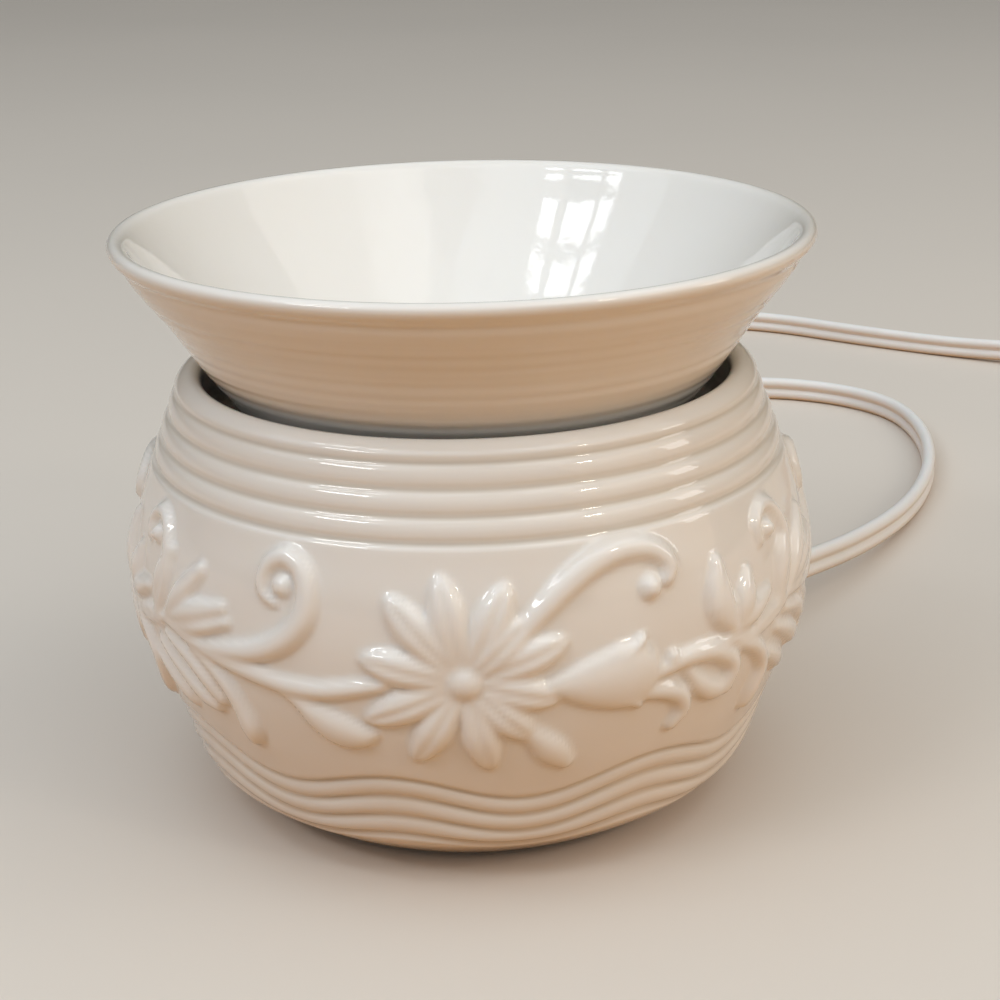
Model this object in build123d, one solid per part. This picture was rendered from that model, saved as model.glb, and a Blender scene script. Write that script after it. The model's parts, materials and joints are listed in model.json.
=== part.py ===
from build123d import *
import math
import os

# Electric candle warmer: a bellied ceramic base with a hot plate in its mouth and a loose flared dish.
# Millimetres, +Z up, origin on the table below the middle of the base.

# Ceramic base: overall sizes
FOOT_PROUD = 1.0
SHELL_HEIGHT = 85.8
BELLY_RADIUS = 66.0
SHELL_WALL = 5.2
# Outside of the base from the foot to the lip: heights as shares of its height, radii of the belly's
OUTLINE_HEIGHT_SHARES = (0.0, 0.055, 0.105, 0.160, 0.233, 0.330, 0.443, 0.560, 0.676, 0.769, 0.851, 0.932)
OUTLINE_RADIUS_SHARES = (0.645, 0.765, 0.840, 0.872, 0.903, 0.948, 0.988, 1.0, 0.982, 0.946, 0.909, 0.868)
# Hollow below the shelf: heights as shares of the height, radii of the inside of the belly
HOLLOW_HEIGHT_SHARES = (0.093, 0.152, 0.233, 0.326, 0.443, 0.560, 0.676, 0.735)
HOLLOW_RADIUS_SHARES = (0.749, 0.850, 0.890, 0.939, 0.987, 1.0, 0.982, 0.950)
# Mouth and lip: heights as shares of the height, radii as shares of the belly's
MOUTH_EDGE_HEIGHT_SHARE = 0.972
MOUTH_EDGE_RADIUS_SHARE = 0.764
LIP_MIDDLE_RADIUS_SHARE = 0.7955
LIP_OUTER_HEIGHT_SHARE = 0.982
LIP_OUTER_RADIUS_SHARE = 0.827
UNDERCUT_HEIGHT_SHARE = 0.875
UNDERCUT_RADIUS_SHARE = 0.827
SHELF_OUTER_RADIUS_SHARE = 0.848
# Shelf that carries the heater: its top, its thickness and how far it reaches towards the pan
SHELF_TOP = 69.5
SHELF_THICKNESS = 3.6
SHELF_TO_PAN = 6.5
# Four turned grooves below the lip, as shares of the base's height
GROOVE_HEIGHT_SHARES = (0.7995, 0.852, 0.902, 0.949)
GROOVE_RADIUS = 1.5
GROOVE_DEPTH = 0.7
# Raised flowers round the belly, each petal, stem and leaf a swelling half sunk in the wall
PATTERN_REPEATS = 3
PATTERN_TURN = -91.5
PATTERN_HEIGHT_SHARE = 0.531
RAISED_SINK = 0.3
# The daisy in the middle of each repeat: the way its petals point and how far out their middles lie
PETAL_ANGLES = (19.0, 45.0, 67.6, 105.0, 132.0, 169.0, 203.5, 239.5, 283.0, 315.6, 347.0)
PETAL_MIDDLE_SHARE = 0.172
# Half length, half width and rise as shares of the belly's radius, for a petal and for the daisy's heart
PETAL_SHARES = (0.09, 0.05, 0.03)
HEART_SHARES = (0.055, 0.055, 0.027)
# The other swellings: across and up from the heart, tilt in degrees, half length, half width and rise
RAISED_FORMS = (
    # Scroll left of the daisy, from its root to its curled tip
    (-0.62, 0.027, 14, 0.102, 0.035, 0.027), (-0.484, 0.1, 42, 0.098, 0.036, 0.029),
    (-0.412, 0.208, 84, 0.084, 0.032, 0.027), (-0.471, 0.284, -11, 0.079, 0.027, 0.026),
    # Scroll that arches to the right over the bud
    (0.244, 0.17, 43, 0.112, 0.029, 0.024), (0.401, 0.264, 17, 0.111, 0.033, 0.027),
    (0.519, 0.248, -48, 0.077, 0.03, 0.026),
    # Bud, narrow at the daisy and wide at its mouth
    (0.271, 0.004, 8, 0.102, 0.038, 0.029), (0.423, 0.024, 5, 0.139, 0.064, 0.032),
    # Stem to the left
    (-0.349, -0.038, 4, 0.12, 0.026, 0.02), (-0.524, -0.042, -2, 0.12, 0.026, 0.02),
    (-0.733, -0.017, -13, 0.122, 0.024, 0.018),
    # Leaves under the left stem
    (-0.585, -0.061, -14, 0.114, 0.026, 0.02), (-0.401, -0.12, -20, 0.133, 0.036, 0.024),
    (-0.742, -0.106, -32, 0.086, 0.024, 0.02), (-0.654, -0.201, -71, 0.078, 0.03, 0.024),
    # Petals of the flower at the left
    (-0.89, 0.121, 47, 0.121, 0.03, 0.026), (-0.812, 0.065, 22, 0.123, 0.033, 0.027),
    (-0.999, 0.136, 67, 0.115, 0.027, 0.023),
    # Petals of the flower at the right
    (0.733, 0.129, -75, 0.123, 0.035, 0.027), (0.82, 0.106, 71, 0.099, 0.032, 0.026),
    (0.899, 0.042, 19, 0.101, 0.03, 0.024),
    # Leaves under the right stem
    (0.655, -0.041, -2, 0.128, 0.024, 0.021), (0.886, -0.102, -34, 0.115, 0.024, 0.021),
    (0.95, -0.212, 73, 0.073, 0.029, 0.024), (0.759, -0.133, -23, 0.068, 0.035, 0.024),
    # Curl beyond them
    (1.091, 0.121, 74, 0.11, 0.026, 0.023), (1.039, 0.277, -17, 0.079, 0.024, 0.023),
)
# Recess for the bottom cover
FOOT_RIM_WIDTH = 5.0
RECESS_DEPTH = 3.2
COVER_LAND = 3.6
BOTTOM_RING_SHARE = 0.707
BOTTOM_RING_THICKNESS = 1.9

# Bottom cover
COVER_CLEARANCE = 0.2
COVER_THICKNESS = 1.0
DIMPLE_RADIUS = 9.0
DIMPLE_RISE = 2.5
VENT_COUNT = 8
VENT_PITCH_RADIUS = 18.0
VENT_LENGTH = 11.0
VENT_WIDTH = 2.4

# Rubber feet
FOOT_COUNT = 4
FOOT_TO_OPENING = 6.0
FOOT_RADIUS = 4.6
FOOT_STEM_RADIUS = 2.0
FOOT_BUTTON_RADIUS = 2.9
FOOT_BUTTON_HEIGHT = 1.3
FOOT_EDGE = 0.5
FOOT_FIRST_ANGLE = 0.0

# Tie rod, nuts and washer
ROD_RADIUS = 2.0
ROD_HOLE_CLEARANCE = 0.2
ROD_FLOOR_GAP = 1.6
NUT_FLATS = 7.0
NUT_HEIGHT = 2.6
WASHER_RADIUS = 4.5
WASHER_THICKNESS = 0.8

# Hot plate and the parts clamped under it
PLATE_INSET = 5.4
PLATE_THICKNESS = 1.6
PLATE_SKIRT_DROP = 1.1
PLATE_EDGE = 0.7
PAN_FLANGE_GAP = 6.6
PAN_SHEET = 0.8
PAN_WALL_INSET = 5.0
PAN_DEPTH = 30.0
MICA_INSET = 8.0
MICA_THICKNESS = 0.5
RIBBON_THICKNESS = 0.4
RIBBON_WIDTH = 3.0
RIBBON_INNER_RADIUS = 11.0
RIBBON_MARGIN = 5.5
RIBBON_TURNS = 4
RIBBON_GAP_ANGLE = 24.0
TAB_LENGTH = 8.0
CLAMP_INSET = 10.0
CLAMP_THICKNESS = 1.2
BEAD_RADIUS = 2.8
BEAD_BORE_RADIUS = 1.8
BEAD_LENGTH = 3.6
BEAD_CLEARANCE = 0.1

# Thermal cutoff under the clamp plate
CUTOFF_ANGLE = 150.0
CUTOFF_PITCH_RADIUS = 19.0
CUTOFF_CAP_RADIUS = 8.0
CUTOFF_CAP_THICKNESS = 1.2
CUTOFF_BODY_RADIUS = 7.2
CUTOFF_BODY_HEIGHT = 5.0
CUTOFF_EAR_RADIUS = 3.0
CUTOFF_EAR_SPACING = 22.0
CUTOFF_TERMINAL_SPACING = 8.0
CUTOFF_TERMINAL_WIDTH = 3.2
CUTOFF_TERMINAL_LENGTH = 4.5
TERMINAL_SHEET = 0.8
CUTOFF_SCREW_RADIUS = 1.3
CUTOFF_SCREW_HEAD_RADIUS = 2.4
CUTOFF_SCREW_HEAD_HEIGHT = 1.5

# Wiring inside the base
WIRE_RADIUS = 1.2
WIRE_BEND_RADIUS = 4.0
WIRE_SPREAD = 2.0
# How high the wires run above the pan's floor, so that they pass clear of each other
SUPPLY_WIRE_LIFTS = (4.5, 8.0)
LINK_WIRE_LIFT = 2.0
# How far the two wires run straight on from the cord before they bend upward
SUPPLY_WIRE_RUNS = (12.5, 8.0)
GROMMET_ANGLE = 70.0
GROMMET_PITCH_RADIUS = 24.0
GROMMET_BORE_RADIUS = 3.4
GROMMET_HOLE_RADIUS = 5.0
GROMMET_FLANGE_RADIUS = 6.4
GROMMET_FLANGE_THICKNESS = 1.2
GROMMET_CLEARANCE = 0.05
CRIMP_RADIUS = 2.1
CRIMP_LENGTH = 6.0

# Loose dish
DISH_FOOT_INSET = 7.5
DISH_HEIGHT = 38.8
DISH_RIM_INSET = 1.1
DISH_LIP_RADIUS = 1.9
DISH_LIP_LEAN = 30.0
DISH_FLOOR = 4.0
DISH_FLOOR_INSET = 12.5
DISH_FOOT_RECESS = 1.0
DISH_FOOT_LAND = 4.0
DISH_FOOT_EDGE = 0.9
# Outside and inside of the dish from foot to rim: heights as shares of its height, radii of the rim's
DISH_OUT_HEIGHT_SHARES = (0.180, 0.387, 0.593, 0.799, 0.925)
DISH_OUT_RADIUS_SHARES = (0.698, 0.793, 0.874, 0.966, 1.0255)
DISH_IN_HEIGHT_SHARES = (0.170, 0.330, 0.587, 0.809)
DISH_IN_RADIUS_SHARES = (0.574, 0.692, 0.806, 0.901)

# Flat two-core cord and its exit at the back of the base
CORD_WIDTH = 7.1
CORD_THICKNESS = 3.6
CORD_WEB = 1.8
EXIT_ANGLE = 43.0
EXIT_HEIGHT = 10.5
BUSHING_BORE_RADIUS = 4.3
BUSHING_CLEARANCE = 0.1
BUSHING_BARREL_LENGTH = 11.4
BUSHING_FLANGE_GAP = 0.15
BUSHING_FLANGE_RADIUS = 6.4
BUSHING_FLANGE_THICKNESS = 2.2
BUSHING_TAIL_LENGTH = 27.4
BUSHING_TAIL_START_RADIUS = 5.6
BUSHING_TAIL_END_RADIUS = 4.7
BUSHING_GROOVES = 5
BUSHING_GROOVE_WIDTH = 1.4
BUSHING_GROOVE_DEPTH = 0.6
STUB_LENGTH = 12.0
EXIT_STRAIGHT = 18.0

# Route of the cord to the switch, after its straight run out of the strain relief
LEAD_POINTS = [
    (98.0, 95.5, 7.4), (118.5, 127.5, 4.3), (132.5, 161.5, 3.55), (138.5, 197.0, 3.55), (134.0, 229.0, 3.55),
    (108.0, 249.5, 3.55), (74.0, 251.5, 3.55), (45.0, 264.0, 3.55), (29.5, 289.0, 3.55), (33.5, 317.0, 3.55),
    (51.0, 338.5, 3.55), (78.0, 345.5, 3.55), (112.0, 336.0, 3.55), (141.0, 313.0, 3.55), (171.0, 293.0, 3.55),
    (197.0, 278.0, 5.15), (217.0, 267.0, 5.15),
]
FILLET_SHARE = 0.45

# Switch on the cord
SWITCH_LENGTH = 62.0
SWITCH_WIDTH = 22.0
SWITCH_HEIGHT = 17.0
SWITCH_SPLIT = 9.0
SWITCH_WALL = 1.5
SWITCH_ROUND = 2.0
SWITCH_CORD_CLEARANCE = 0.1
SWITCH_NOSE_LENGTH = 8.0
ROCKER_PIVOT_HEIGHT = 12.6
ROCKER_RADIUS = 7.6
ROCKER_WIDTH = 8.0
ROCKER_CLEARANCE = 0.4
ROCKER_TILT = 9.0
ROCKER_VALLEY = 4.0
ROCKER_BASE_DROP = 1.6
ROCKER_LEG_WIDTH = 3.0
ROCKER_LEG_DROP = 4.0
PIN_RADIUS = 1.2
PIN_LENGTH = 1.7
PIN_CLEARANCE = 0.05
EAR_THICKNESS = 1.6
EAR_RADIUS = 2.6
CONTACT_LENGTH = 9.0
CONTACT_WIDTH = 3.0
CONTACT_SHEET = 0.5
FIXED_CONTACT_X = 6.0
FIXED_CONTACT_LENGTH = 12.0
FIXED_CONTACT_WIDTH = 3.4
FIXED_CONTACT_HEIGHT = 4.2
SWITCH_SCREW_X = 19.0
SWITCH_SCREW_Y = 6.4
SWITCH_SCREW_RADIUS = 1.25
SWITCH_SCREW_HEAD_RADIUS = 2.3
SWITCH_SCREW_HEAD_HEIGHT = 1.4
SWITCH_SCREW_DEPTH = 4.0
SWITCH_BOSS_RADIUS = 2.6

# Cord from the switch to the coil, the coil, and the tail to the plug
MID_LENGTH = 46.0
MID_STRAIGHT = 15.0
COIL_HEIGHT = 4.45
COIL_OUTER_RADIUS = 44.5
COIL_PITCH = 4.4
COIL_LAYER_RISE = 7.8
COIL_TURNS = 4.25
TAIL_LENGTH = 40.0
TIE_THICKNESS = 0.6
TIE_WIDTH = 4.0
TIE_GAP = 0.15
TIE_SIDE_GAP = 0.6
TIE_ANGLE = 200.0
TIE_TAIL_LENGTH = 9.0

# Two-blade plug
PLUG_NECK_LENGTH = 16.0
PLUG_NECK_WIDTH = 9.6
PLUG_NECK_THICKNESS = 6.4
PLUG_BODY_LENGTH = 24.0
PLUG_FACE_LENGTH = 5.0
PLUG_THICKNESS = 16.0
PLUG_ROUND = 3.0
BLADE_SPACING = 12.7
BLADE_LENGTH = 17.5
BLADE_WIDTH = 6.35
BLADE_THICKNESS = 1.5
BLADE_HOLE_RADIUS = 1.6
BLADE_HOLE_SETBACK = 4.0

OVERRUN = 1.0

# Radii worked out from the sizes above
FOOT_OUTER_RADIUS = BELLY_RADIUS * OUTLINE_RADIUS_SHARES[0]
RECESS_RADIUS = FOOT_OUTER_RADIUS - FOOT_RIM_WIDTH
BOTTOM_OPENING_RADIUS = RECESS_RADIUS - COVER_LAND
FOOT_PITCH_RADIUS = BOTTOM_OPENING_RADIUS - FOOT_TO_OPENING
SHELF_OUTER_RADIUS = BELLY_RADIUS * SHELF_OUTER_RADIUS_SHARE
PAN_FLANGE_RADIUS = SHELF_OUTER_RADIUS - PAN_FLANGE_GAP
PLATE_RADIUS = PAN_FLANGE_RADIUS - PLATE_INSET
PAN_WALL_RADIUS = PLATE_RADIUS - PAN_WALL_INSET
SHELF_INNER_RADIUS = PAN_WALL_RADIUS + SHELF_TO_PAN
MICA_RADIUS = PLATE_RADIUS - MICA_INSET
CLAMP_RADIUS = PLATE_RADIUS - CLAMP_INSET
RIBBON_STEP = (MICA_RADIUS - RIBBON_MARGIN - RIBBON_INNER_RADIUS) / (RIBBON_TURNS - 1)
DISH_FOOT_RADIUS = PLATE_RADIUS - DISH_FOOT_INSET
DISH_FLOOR_RADIUS = DISH_FOOT_RADIUS - DISH_FLOOR_INSET
DISH_RIM_RADIUS = BELLY_RADIUS - DISH_RIM_INSET

# Heights worked out from the sizes above
SHELF = FOOT_PROUD + SHELF_TOP
COVER_TOP = FOOT_PROUD + RECESS_DEPTH
COVER_BOTTOM = COVER_TOP - COVER_THICKNESS
DIMPLE_BOTTOM = COVER_BOTTOM + DIMPLE_RISE
DIMPLE_TOP = DIMPLE_BOTTOM + COVER_THICKNESS
SKIRT_BOTTOM = SHELF + PAN_SHEET
PLATE_BOTTOM = SKIRT_BOTTOM + PLATE_SKIRT_DROP
PLATE_TOP = PLATE_BOTTOM + PLATE_THICKNESS
RIBBON_TOP = PLATE_BOTTOM - MICA_THICKNESS
RIBBON_BOTTOM = RIBBON_TOP - RIBBON_THICKNESS
CLAMP_TOP = RIBBON_BOTTOM - MICA_THICKNESS
CLAMP_BOTTOM = CLAMP_TOP - CLAMP_THICKNESS
PAN_BOTTOM = SKIRT_BOTTOM - PAN_DEPTH
PAN_FLOOR = PAN_BOTTOM + PAN_SHEET
ROD_HOLE_RADIUS = ROD_RADIUS + ROD_HOLE_CLEARANCE
LOBE_RADIUS = CORD_THICKNESS / 2
LOBE_OFFSET = CORD_WIDTH / 2 - LOBE_RADIUS


def save(shape, node):
    """Write one sub-part and say how large it is."""
    export_step(shape, f"parts/{node}.step")
    print(f"{node}: volume {shape.volume:.1f}")


def turned(outline):
    """A solid of revolution from a closed outline of radius and height."""
    return revolve(Plane.XZ * make_face(outline), Axis.Z)


def tube(outer, inner, low, high):
    """A flat ring or a disc between two heights."""
    face = Circle(outer)
    if inner > 0:
        face = face - Circle(inner)
    return Pos(0, 0, low) * extrude(face, high - low)


def at_angle(radius, angle, height):
    """A place on a circle about the middle axis."""
    turn = math.radians(angle)
    return Vector(radius * math.cos(turn), radius * math.sin(turn), height)


def shell_point(height_share, radius_share, radius):
    """A point of the base's outline, in radius and height."""
    return (radius * radius_share, FOOT_PROUD + SHELL_HEIGHT * height_share)


def outline_curve():
    """The outside of the base from its foot to below the lip."""
    pairs = zip(OUTLINE_HEIGHT_SHARES, OUTLINE_RADIUS_SHARES)
    return Spline(*[shell_point(height, radius, BELLY_RADIUS) for height, radius in pairs])


def exit_plane():
    """Where the cord leaves the base: x runs outward, along the cord."""
    outward = at_angle(1, EXIT_ANGLE, 0)
    return Plane(origin=(0, 0, EXIT_HEIGHT), x_dir=outward, z_dir=(0, 0, 1))


def outward_turned(points):
    """A solid turned about the line on which the cord leaves the base."""
    face = make_face(Polyline(*points, close=True))
    return exit_plane() * revolve(face, Axis.X)


def base_shell():
    """The ceramic base, hollow below its shelf and open at the mouth."""
    top = FOOT_PROUD + SHELL_HEIGHT
    lip_outer = shell_point(LIP_OUTER_HEIGHT_SHARE, LIP_OUTER_RADIUS_SHARE, BELLY_RADIUS)
    mouth_edge = shell_point(MOUTH_EDGE_HEIGHT_SHARE, MOUTH_EDGE_RADIUS_SHARE, BELLY_RADIUS)
    undercut = shell_point(UNDERCUT_HEIGHT_SHARE, UNDERCUT_RADIUS_SHARE, BELLY_RADIUS)
    hollow_radius = BELLY_RADIUS - SHELL_WALL
    pairs = zip(HOLLOW_HEIGHT_SHARES, HOLLOW_RADIUS_SHARES)
    hollow = [shell_point(height, radius, hollow_radius) for height, radius in pairs]
    ring_top = COVER_TOP + BOTTOM_RING_THICKNESS
    outside = outline_curve()
    inside = Spline(*reversed(hollow))
    edges = [
        outside,
        Line(outside @ 1, lip_outer),
        ThreePointArc(lip_outer, (BELLY_RADIUS * LIP_MIDDLE_RADIUS_SHARE, top), mouth_edge),
        Polyline(mouth_edge, undercut, (SHELF_OUTER_RADIUS, SHELF), (SHELF_INNER_RADIUS, SHELF),
                 (SHELF_INNER_RADIUS, SHELF - SHELF_THICKNESS), hollow[-1]),
        inside,
        Polyline(hollow[0], (hollow_radius * BOTTOM_RING_SHARE, ring_top), (BOTTOM_OPENING_RADIUS, ring_top),
                 (BOTTOM_OPENING_RADIUS, COVER_TOP), (RECESS_RADIUS, COVER_TOP), (RECESS_RADIUS, FOOT_PROUD),
                 outside @ 0),
    ]
    shell = turned(edges)
    for height_share in GROOVE_HEIGHT_SHARES:
        height = FOOT_PROUD + SHELL_HEIGHT * height_share
        crossing = outside_radius(height)
        centre = Pos(crossing + GROOVE_RADIUS - GROOVE_DEPTH, height)
        shell = shell - revolve(Plane.XZ * (centre * Circle(GROOVE_RADIUS)), Axis.Z)
    bore = extrude(Plane.YZ.offset(BOTTOM_OPENING_RADIUS) * Circle(BUSHING_BORE_RADIUS), SHELF_OUTER_RADIUS)
    return shell.fuse(*raised_pattern()) - exit_plane() * bore


def raised_form(repeat, across, up, tilt, half_length, half_width, rise):
    """One swelling on the belly, placed from the heart of its repeat's daisy in shares of the belly's radius."""
    height = FOOT_PROUD + SHELL_HEIGHT * PATTERN_HEIGHT_SHARE + BELLY_RADIUS * up
    angle = PATTERN_TURN + 360 * repeat / PATTERN_REPEATS + math.degrees(across)
    fall = outside_radius(height - BELLY_RADIUS * half_width) - outside_radius(height + BELLY_RADIUS * half_width)
    outward = at_angle(2 * BELLY_RADIUS * half_width, angle, fall)
    place = at_angle(outside_radius(height) - RAISED_SINK, angle, height)
    wall = Plane(origin=place, x_dir=at_angle(1, angle + 90, 0), z_dir=outward)
    return wall * Rot(0, 0, tilt) * scale(Sphere(BELLY_RADIUS), by=(half_length, half_width, rise))


def raised_pattern():
    """The daisies, scrolls, buds and leaves round the belly, one solid for each swelling."""
    forms = []
    for repeat in range(PATTERN_REPEATS):
        forms.append(raised_form(repeat, 0, 0, 0, *HEART_SHARES))
        for tilt in PETAL_ANGLES:
            turn = math.radians(tilt)
            across = PETAL_MIDDLE_SHARE * math.cos(turn)
            up = PETAL_MIDDLE_SHARE * math.sin(turn)
            forms.append(raised_form(repeat, across, up, tilt, *PETAL_SHARES))
        forms += [raised_form(repeat, *swelling) for swelling in RAISED_FORMS]
    return forms


def outside_radius(height):
    """The outside radius of the base at a height between its foot and its lip."""
    share = (height - FOOT_PROUD) / SHELL_HEIGHT
    heights = OUTLINE_HEIGHT_SHARES + (LIP_OUTER_HEIGHT_SHARE,)
    radii = OUTLINE_RADIUS_SHARES + (LIP_OUTER_RADIUS_SHARE,)
    for index in range(1, len(heights)):
        if share <= heights[index]:
            part = (share - heights[index - 1]) / (heights[index] - heights[index - 1])
            return BELLY_RADIUS * (radii[index - 1] + part * (radii[index] - radii[index - 1]))
    return BELLY_RADIUS * LIP_OUTER_RADIUS_SHARE


def bottom_cover():
    """A pressed steel disc with a raised middle, slots for air and holes for the feet."""
    radius = RECESS_RADIUS - COVER_CLEARANCE
    slope = DIMPLE_RISE
    outline = Polyline(
        (ROD_HOLE_RADIUS, DIMPLE_BOTTOM), (DIMPLE_RADIUS, DIMPLE_BOTTOM), (DIMPLE_RADIUS + slope, COVER_BOTTOM),
        (radius, COVER_BOTTOM), (radius, COVER_TOP), (DIMPLE_RADIUS + slope, COVER_TOP),
        (DIMPLE_RADIUS, DIMPLE_TOP), (ROD_HOLE_RADIUS, DIMPLE_TOP), close=True)
    cover = turned(outline)
    slot = extrude(SlotOverall(VENT_LENGTH, VENT_WIDTH), COVER_THICKNESS + 2 * OVERRUN)
    hole = extrude(Circle(FOOT_STEM_RADIUS), COVER_THICKNESS + 2 * OVERRUN)
    low = COVER_BOTTOM - OVERRUN
    for index in range(VENT_COUNT):
        angle = (index + 0.5) * 360 / VENT_COUNT
        cover = cover - Rot(0, 0, angle) * Pos(VENT_PITCH_RADIUS, 0, low) * slot
    for place in foot_places():
        cover = cover - Pos(place.X, place.Y, low) * hole
    return cover


def foot_places():
    """The middles of the feet, on the table."""
    step = 360 / FOOT_COUNT
    return [at_angle(FOOT_PITCH_RADIUS, FOOT_FIRST_ANGLE + step * index, 0) for index in range(FOOT_COUNT)]


def rubber_feet():
    """Push-in feet: a pad on the table, a stem through the cover and a button above it."""
    feet = []
    button_top = COVER_TOP + FOOT_BUTTON_HEIGHT
    outline = Polyline(
        (0, 0), (FOOT_RADIUS - FOOT_EDGE, 0), (FOOT_RADIUS, FOOT_EDGE), (FOOT_RADIUS, COVER_BOTTOM),
        (FOOT_STEM_RADIUS, COVER_BOTTOM), (FOOT_STEM_RADIUS, COVER_TOP), (FOOT_BUTTON_RADIUS, COVER_TOP),
        (FOOT_STEM_RADIUS, button_top), (0, button_top), close=True)
    foot = turned(outline)
    for place in foot_places():
        feet.append(Pos(place.X, place.Y, 0) * foot)
    return Compound(children=[each.solid() for each in feet])


def tie_rod():
    """The rod that draws the bottom cover and the hot plate together."""
    return tube(ROD_RADIUS, 0, ROD_FLOOR_GAP, PLATE_BOTTOM)


def nut(low):
    """A hexagon nut on the tie rod."""
    face = RegularPolygon(NUT_FLATS / 2, 6, major_radius=False) - Circle(ROD_RADIUS)
    return Pos(0, 0, low) * extrude(face, NUT_HEIGHT)


def rod_nuts():
    """One nut under the cover's washer and one under the clamp plate."""
    lower = nut(DIMPLE_BOTTOM - WASHER_THICKNESS - NUT_HEIGHT)
    upper = nut(CLAMP_BOTTOM - NUT_HEIGHT)
    return Compound(children=[lower.solid(), upper.solid()])


def rod_washer():
    return tube(WASHER_RADIUS, ROD_HOLE_RADIUS, DIMPLE_BOTTOM - WASHER_THICKNESS, DIMPLE_BOTTOM)


def hot_plate():
    """The black disc with a turned-down skirt that rests on the pan's flange."""
    outline = Polyline(
        (0, PLATE_BOTTOM), (PLATE_RADIUS - PLATE_THICKNESS, PLATE_BOTTOM),
        (PLATE_RADIUS - PLATE_THICKNESS, SKIRT_BOTTOM), (PLATE_RADIUS, SKIRT_BOTTOM),
        (PLATE_RADIUS, PLATE_TOP - PLATE_EDGE), (PLATE_RADIUS - PLATE_EDGE, PLATE_TOP), (0, PLATE_TOP),
        close=True)
    return turned(outline)


def grommet_place():
    return at_angle(GROMMET_PITCH_RADIUS, GROMMET_ANGLE, 0)


def heat_pan():
    """The sheet pan that hangs by its flange between the shelf and the hot plate."""
    inner = PAN_WALL_RADIUS - PAN_SHEET
    outline = Polyline(
        (ROD_HOLE_RADIUS, PAN_BOTTOM), (PAN_WALL_RADIUS, PAN_BOTTOM), (PAN_WALL_RADIUS, SHELF),
        (PAN_FLANGE_RADIUS, SHELF), (PAN_FLANGE_RADIUS, SKIRT_BOTTOM), (inner, SKIRT_BOTTOM),
        (inner, PAN_FLOOR), (ROD_HOLE_RADIUS, PAN_FLOOR), close=True)
    place = grommet_place()
    hole = tube(GROMMET_HOLE_RADIUS, 0, PAN_BOTTOM - OVERRUN, PAN_FLOOR + OVERRUN)
    return turned(outline) - Pos(place.X, place.Y, 0) * hole


def pan_grommet():
    """A rubber ring round the wires where they enter the pan."""
    waist = GROMMET_HOLE_RADIUS - GROMMET_CLEARANCE
    low = PAN_BOTTOM - GROMMET_FLANGE_THICKNESS
    high = PAN_FLOOR + GROMMET_FLANGE_THICKNESS
    outline = Polyline(
        (GROMMET_BORE_RADIUS, low), (GROMMET_FLANGE_RADIUS, low), (GROMMET_FLANGE_RADIUS, PAN_BOTTOM),
        (waist, PAN_BOTTOM), (waist, PAN_FLOOR), (GROMMET_FLANGE_RADIUS, PAN_FLOOR),
        (GROMMET_FLANGE_RADIUS, high), (GROMMET_BORE_RADIUS, high), close=True)
    place = grommet_place()
    return Pos(place.X, place.Y, 0) * turned(outline)


def tab_radius(outer_end):
    """The radius at which one end of the heating ribbon turns down."""
    return RIBBON_INNER_RADIUS + (RIBBON_TURNS - 1) * RIBBON_STEP * outer_end


def tab_places():
    """Where the two ends of the heating ribbon turn down."""
    angle = RIBBON_GAP_ANGLE
    return [at_angle(tab_radius(outer_end), angle, 0) for outer_end in (0, 1)]


def tab_holes(low, high):
    """Holes for the insulating beads round the ribbon's ends."""
    hole = tube(BEAD_RADIUS + BEAD_CLEARANCE, 0, low - OVERRUN, high + OVERRUN)
    return [Pos(place.X, place.Y, 0) * hole for place in tab_places()]


def mica_disc(low):
    """An insulating disc with a hole for the rod."""
    return tube(MICA_RADIUS, ROD_HOLE_RADIUS, low, low + MICA_THICKNESS)


def mica_lower():
    return mica_disc(CLAMP_TOP) - tab_holes(CLAMP_TOP, RIBBON_BOTTOM)


def heating_element():
    """A flat ribbon that winds to and fro in open rings, with an end turned down at each limit."""
    half = RIBBON_WIDTH / 2
    reach = RIBBON_INNER_RADIUS + RIBBON_TURNS * RIBBON_STEP
    wedge_side = reach / math.cos(math.radians(RIBBON_GAP_ANGLE / 2))
    first = RIBBON_GAP_ANGLE / 2
    wedge = make_face(Polyline((0, 0), (wedge_side * math.cos(math.radians(first)),
                                        wedge_side * math.sin(math.radians(first))),
                               (wedge_side * math.cos(math.radians(first)),
                                -wedge_side * math.sin(math.radians(first))), close=True))
    face = None
    for index in range(RIBBON_TURNS):
        radius = RIBBON_INNER_RADIUS + index * RIBBON_STEP
        ring = Circle(radius + half) - Circle(radius - half) - wedge
        face = ring if face is None else face + ring
    for index in range(RIBBON_TURNS - 1):
        radius = RIBBON_INNER_RADIUS + (index + 0.5) * RIBBON_STEP
        side = -1 if index % 2 == 0 else 1
        offset = side * (first + math.degrees(half / radius))
        link = Rectangle(RIBBON_STEP + half, RIBBON_WIDTH)
        face = face + Rot(0, 0, offset) * Pos(radius, 0) * link
    ribbon = Pos(0, 0, RIBBON_BOTTOM) * extrude(face, RIBBON_THICKNESS)
    for place in tab_places():
        strip = Box(RIBBON_WIDTH, RIBBON_THICKNESS, TAB_LENGTH, align=(Align.CENTER, Align.CENTER, Align.MAX))
        ribbon = ribbon + Pos(place.X, place.Y, RIBBON_TOP) * Rot(0, 0, RIBBON_GAP_ANGLE) * strip
    return ribbon


def clamp_plate():
    """The steel disc that presses the mica and the ribbon against the hot plate."""
    return tube(CLAMP_RADIUS, ROD_HOLE_RADIUS, CLAMP_BOTTOM, CLAMP_TOP) - tab_holes(CLAMP_BOTTOM, CLAMP_TOP)


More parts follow.
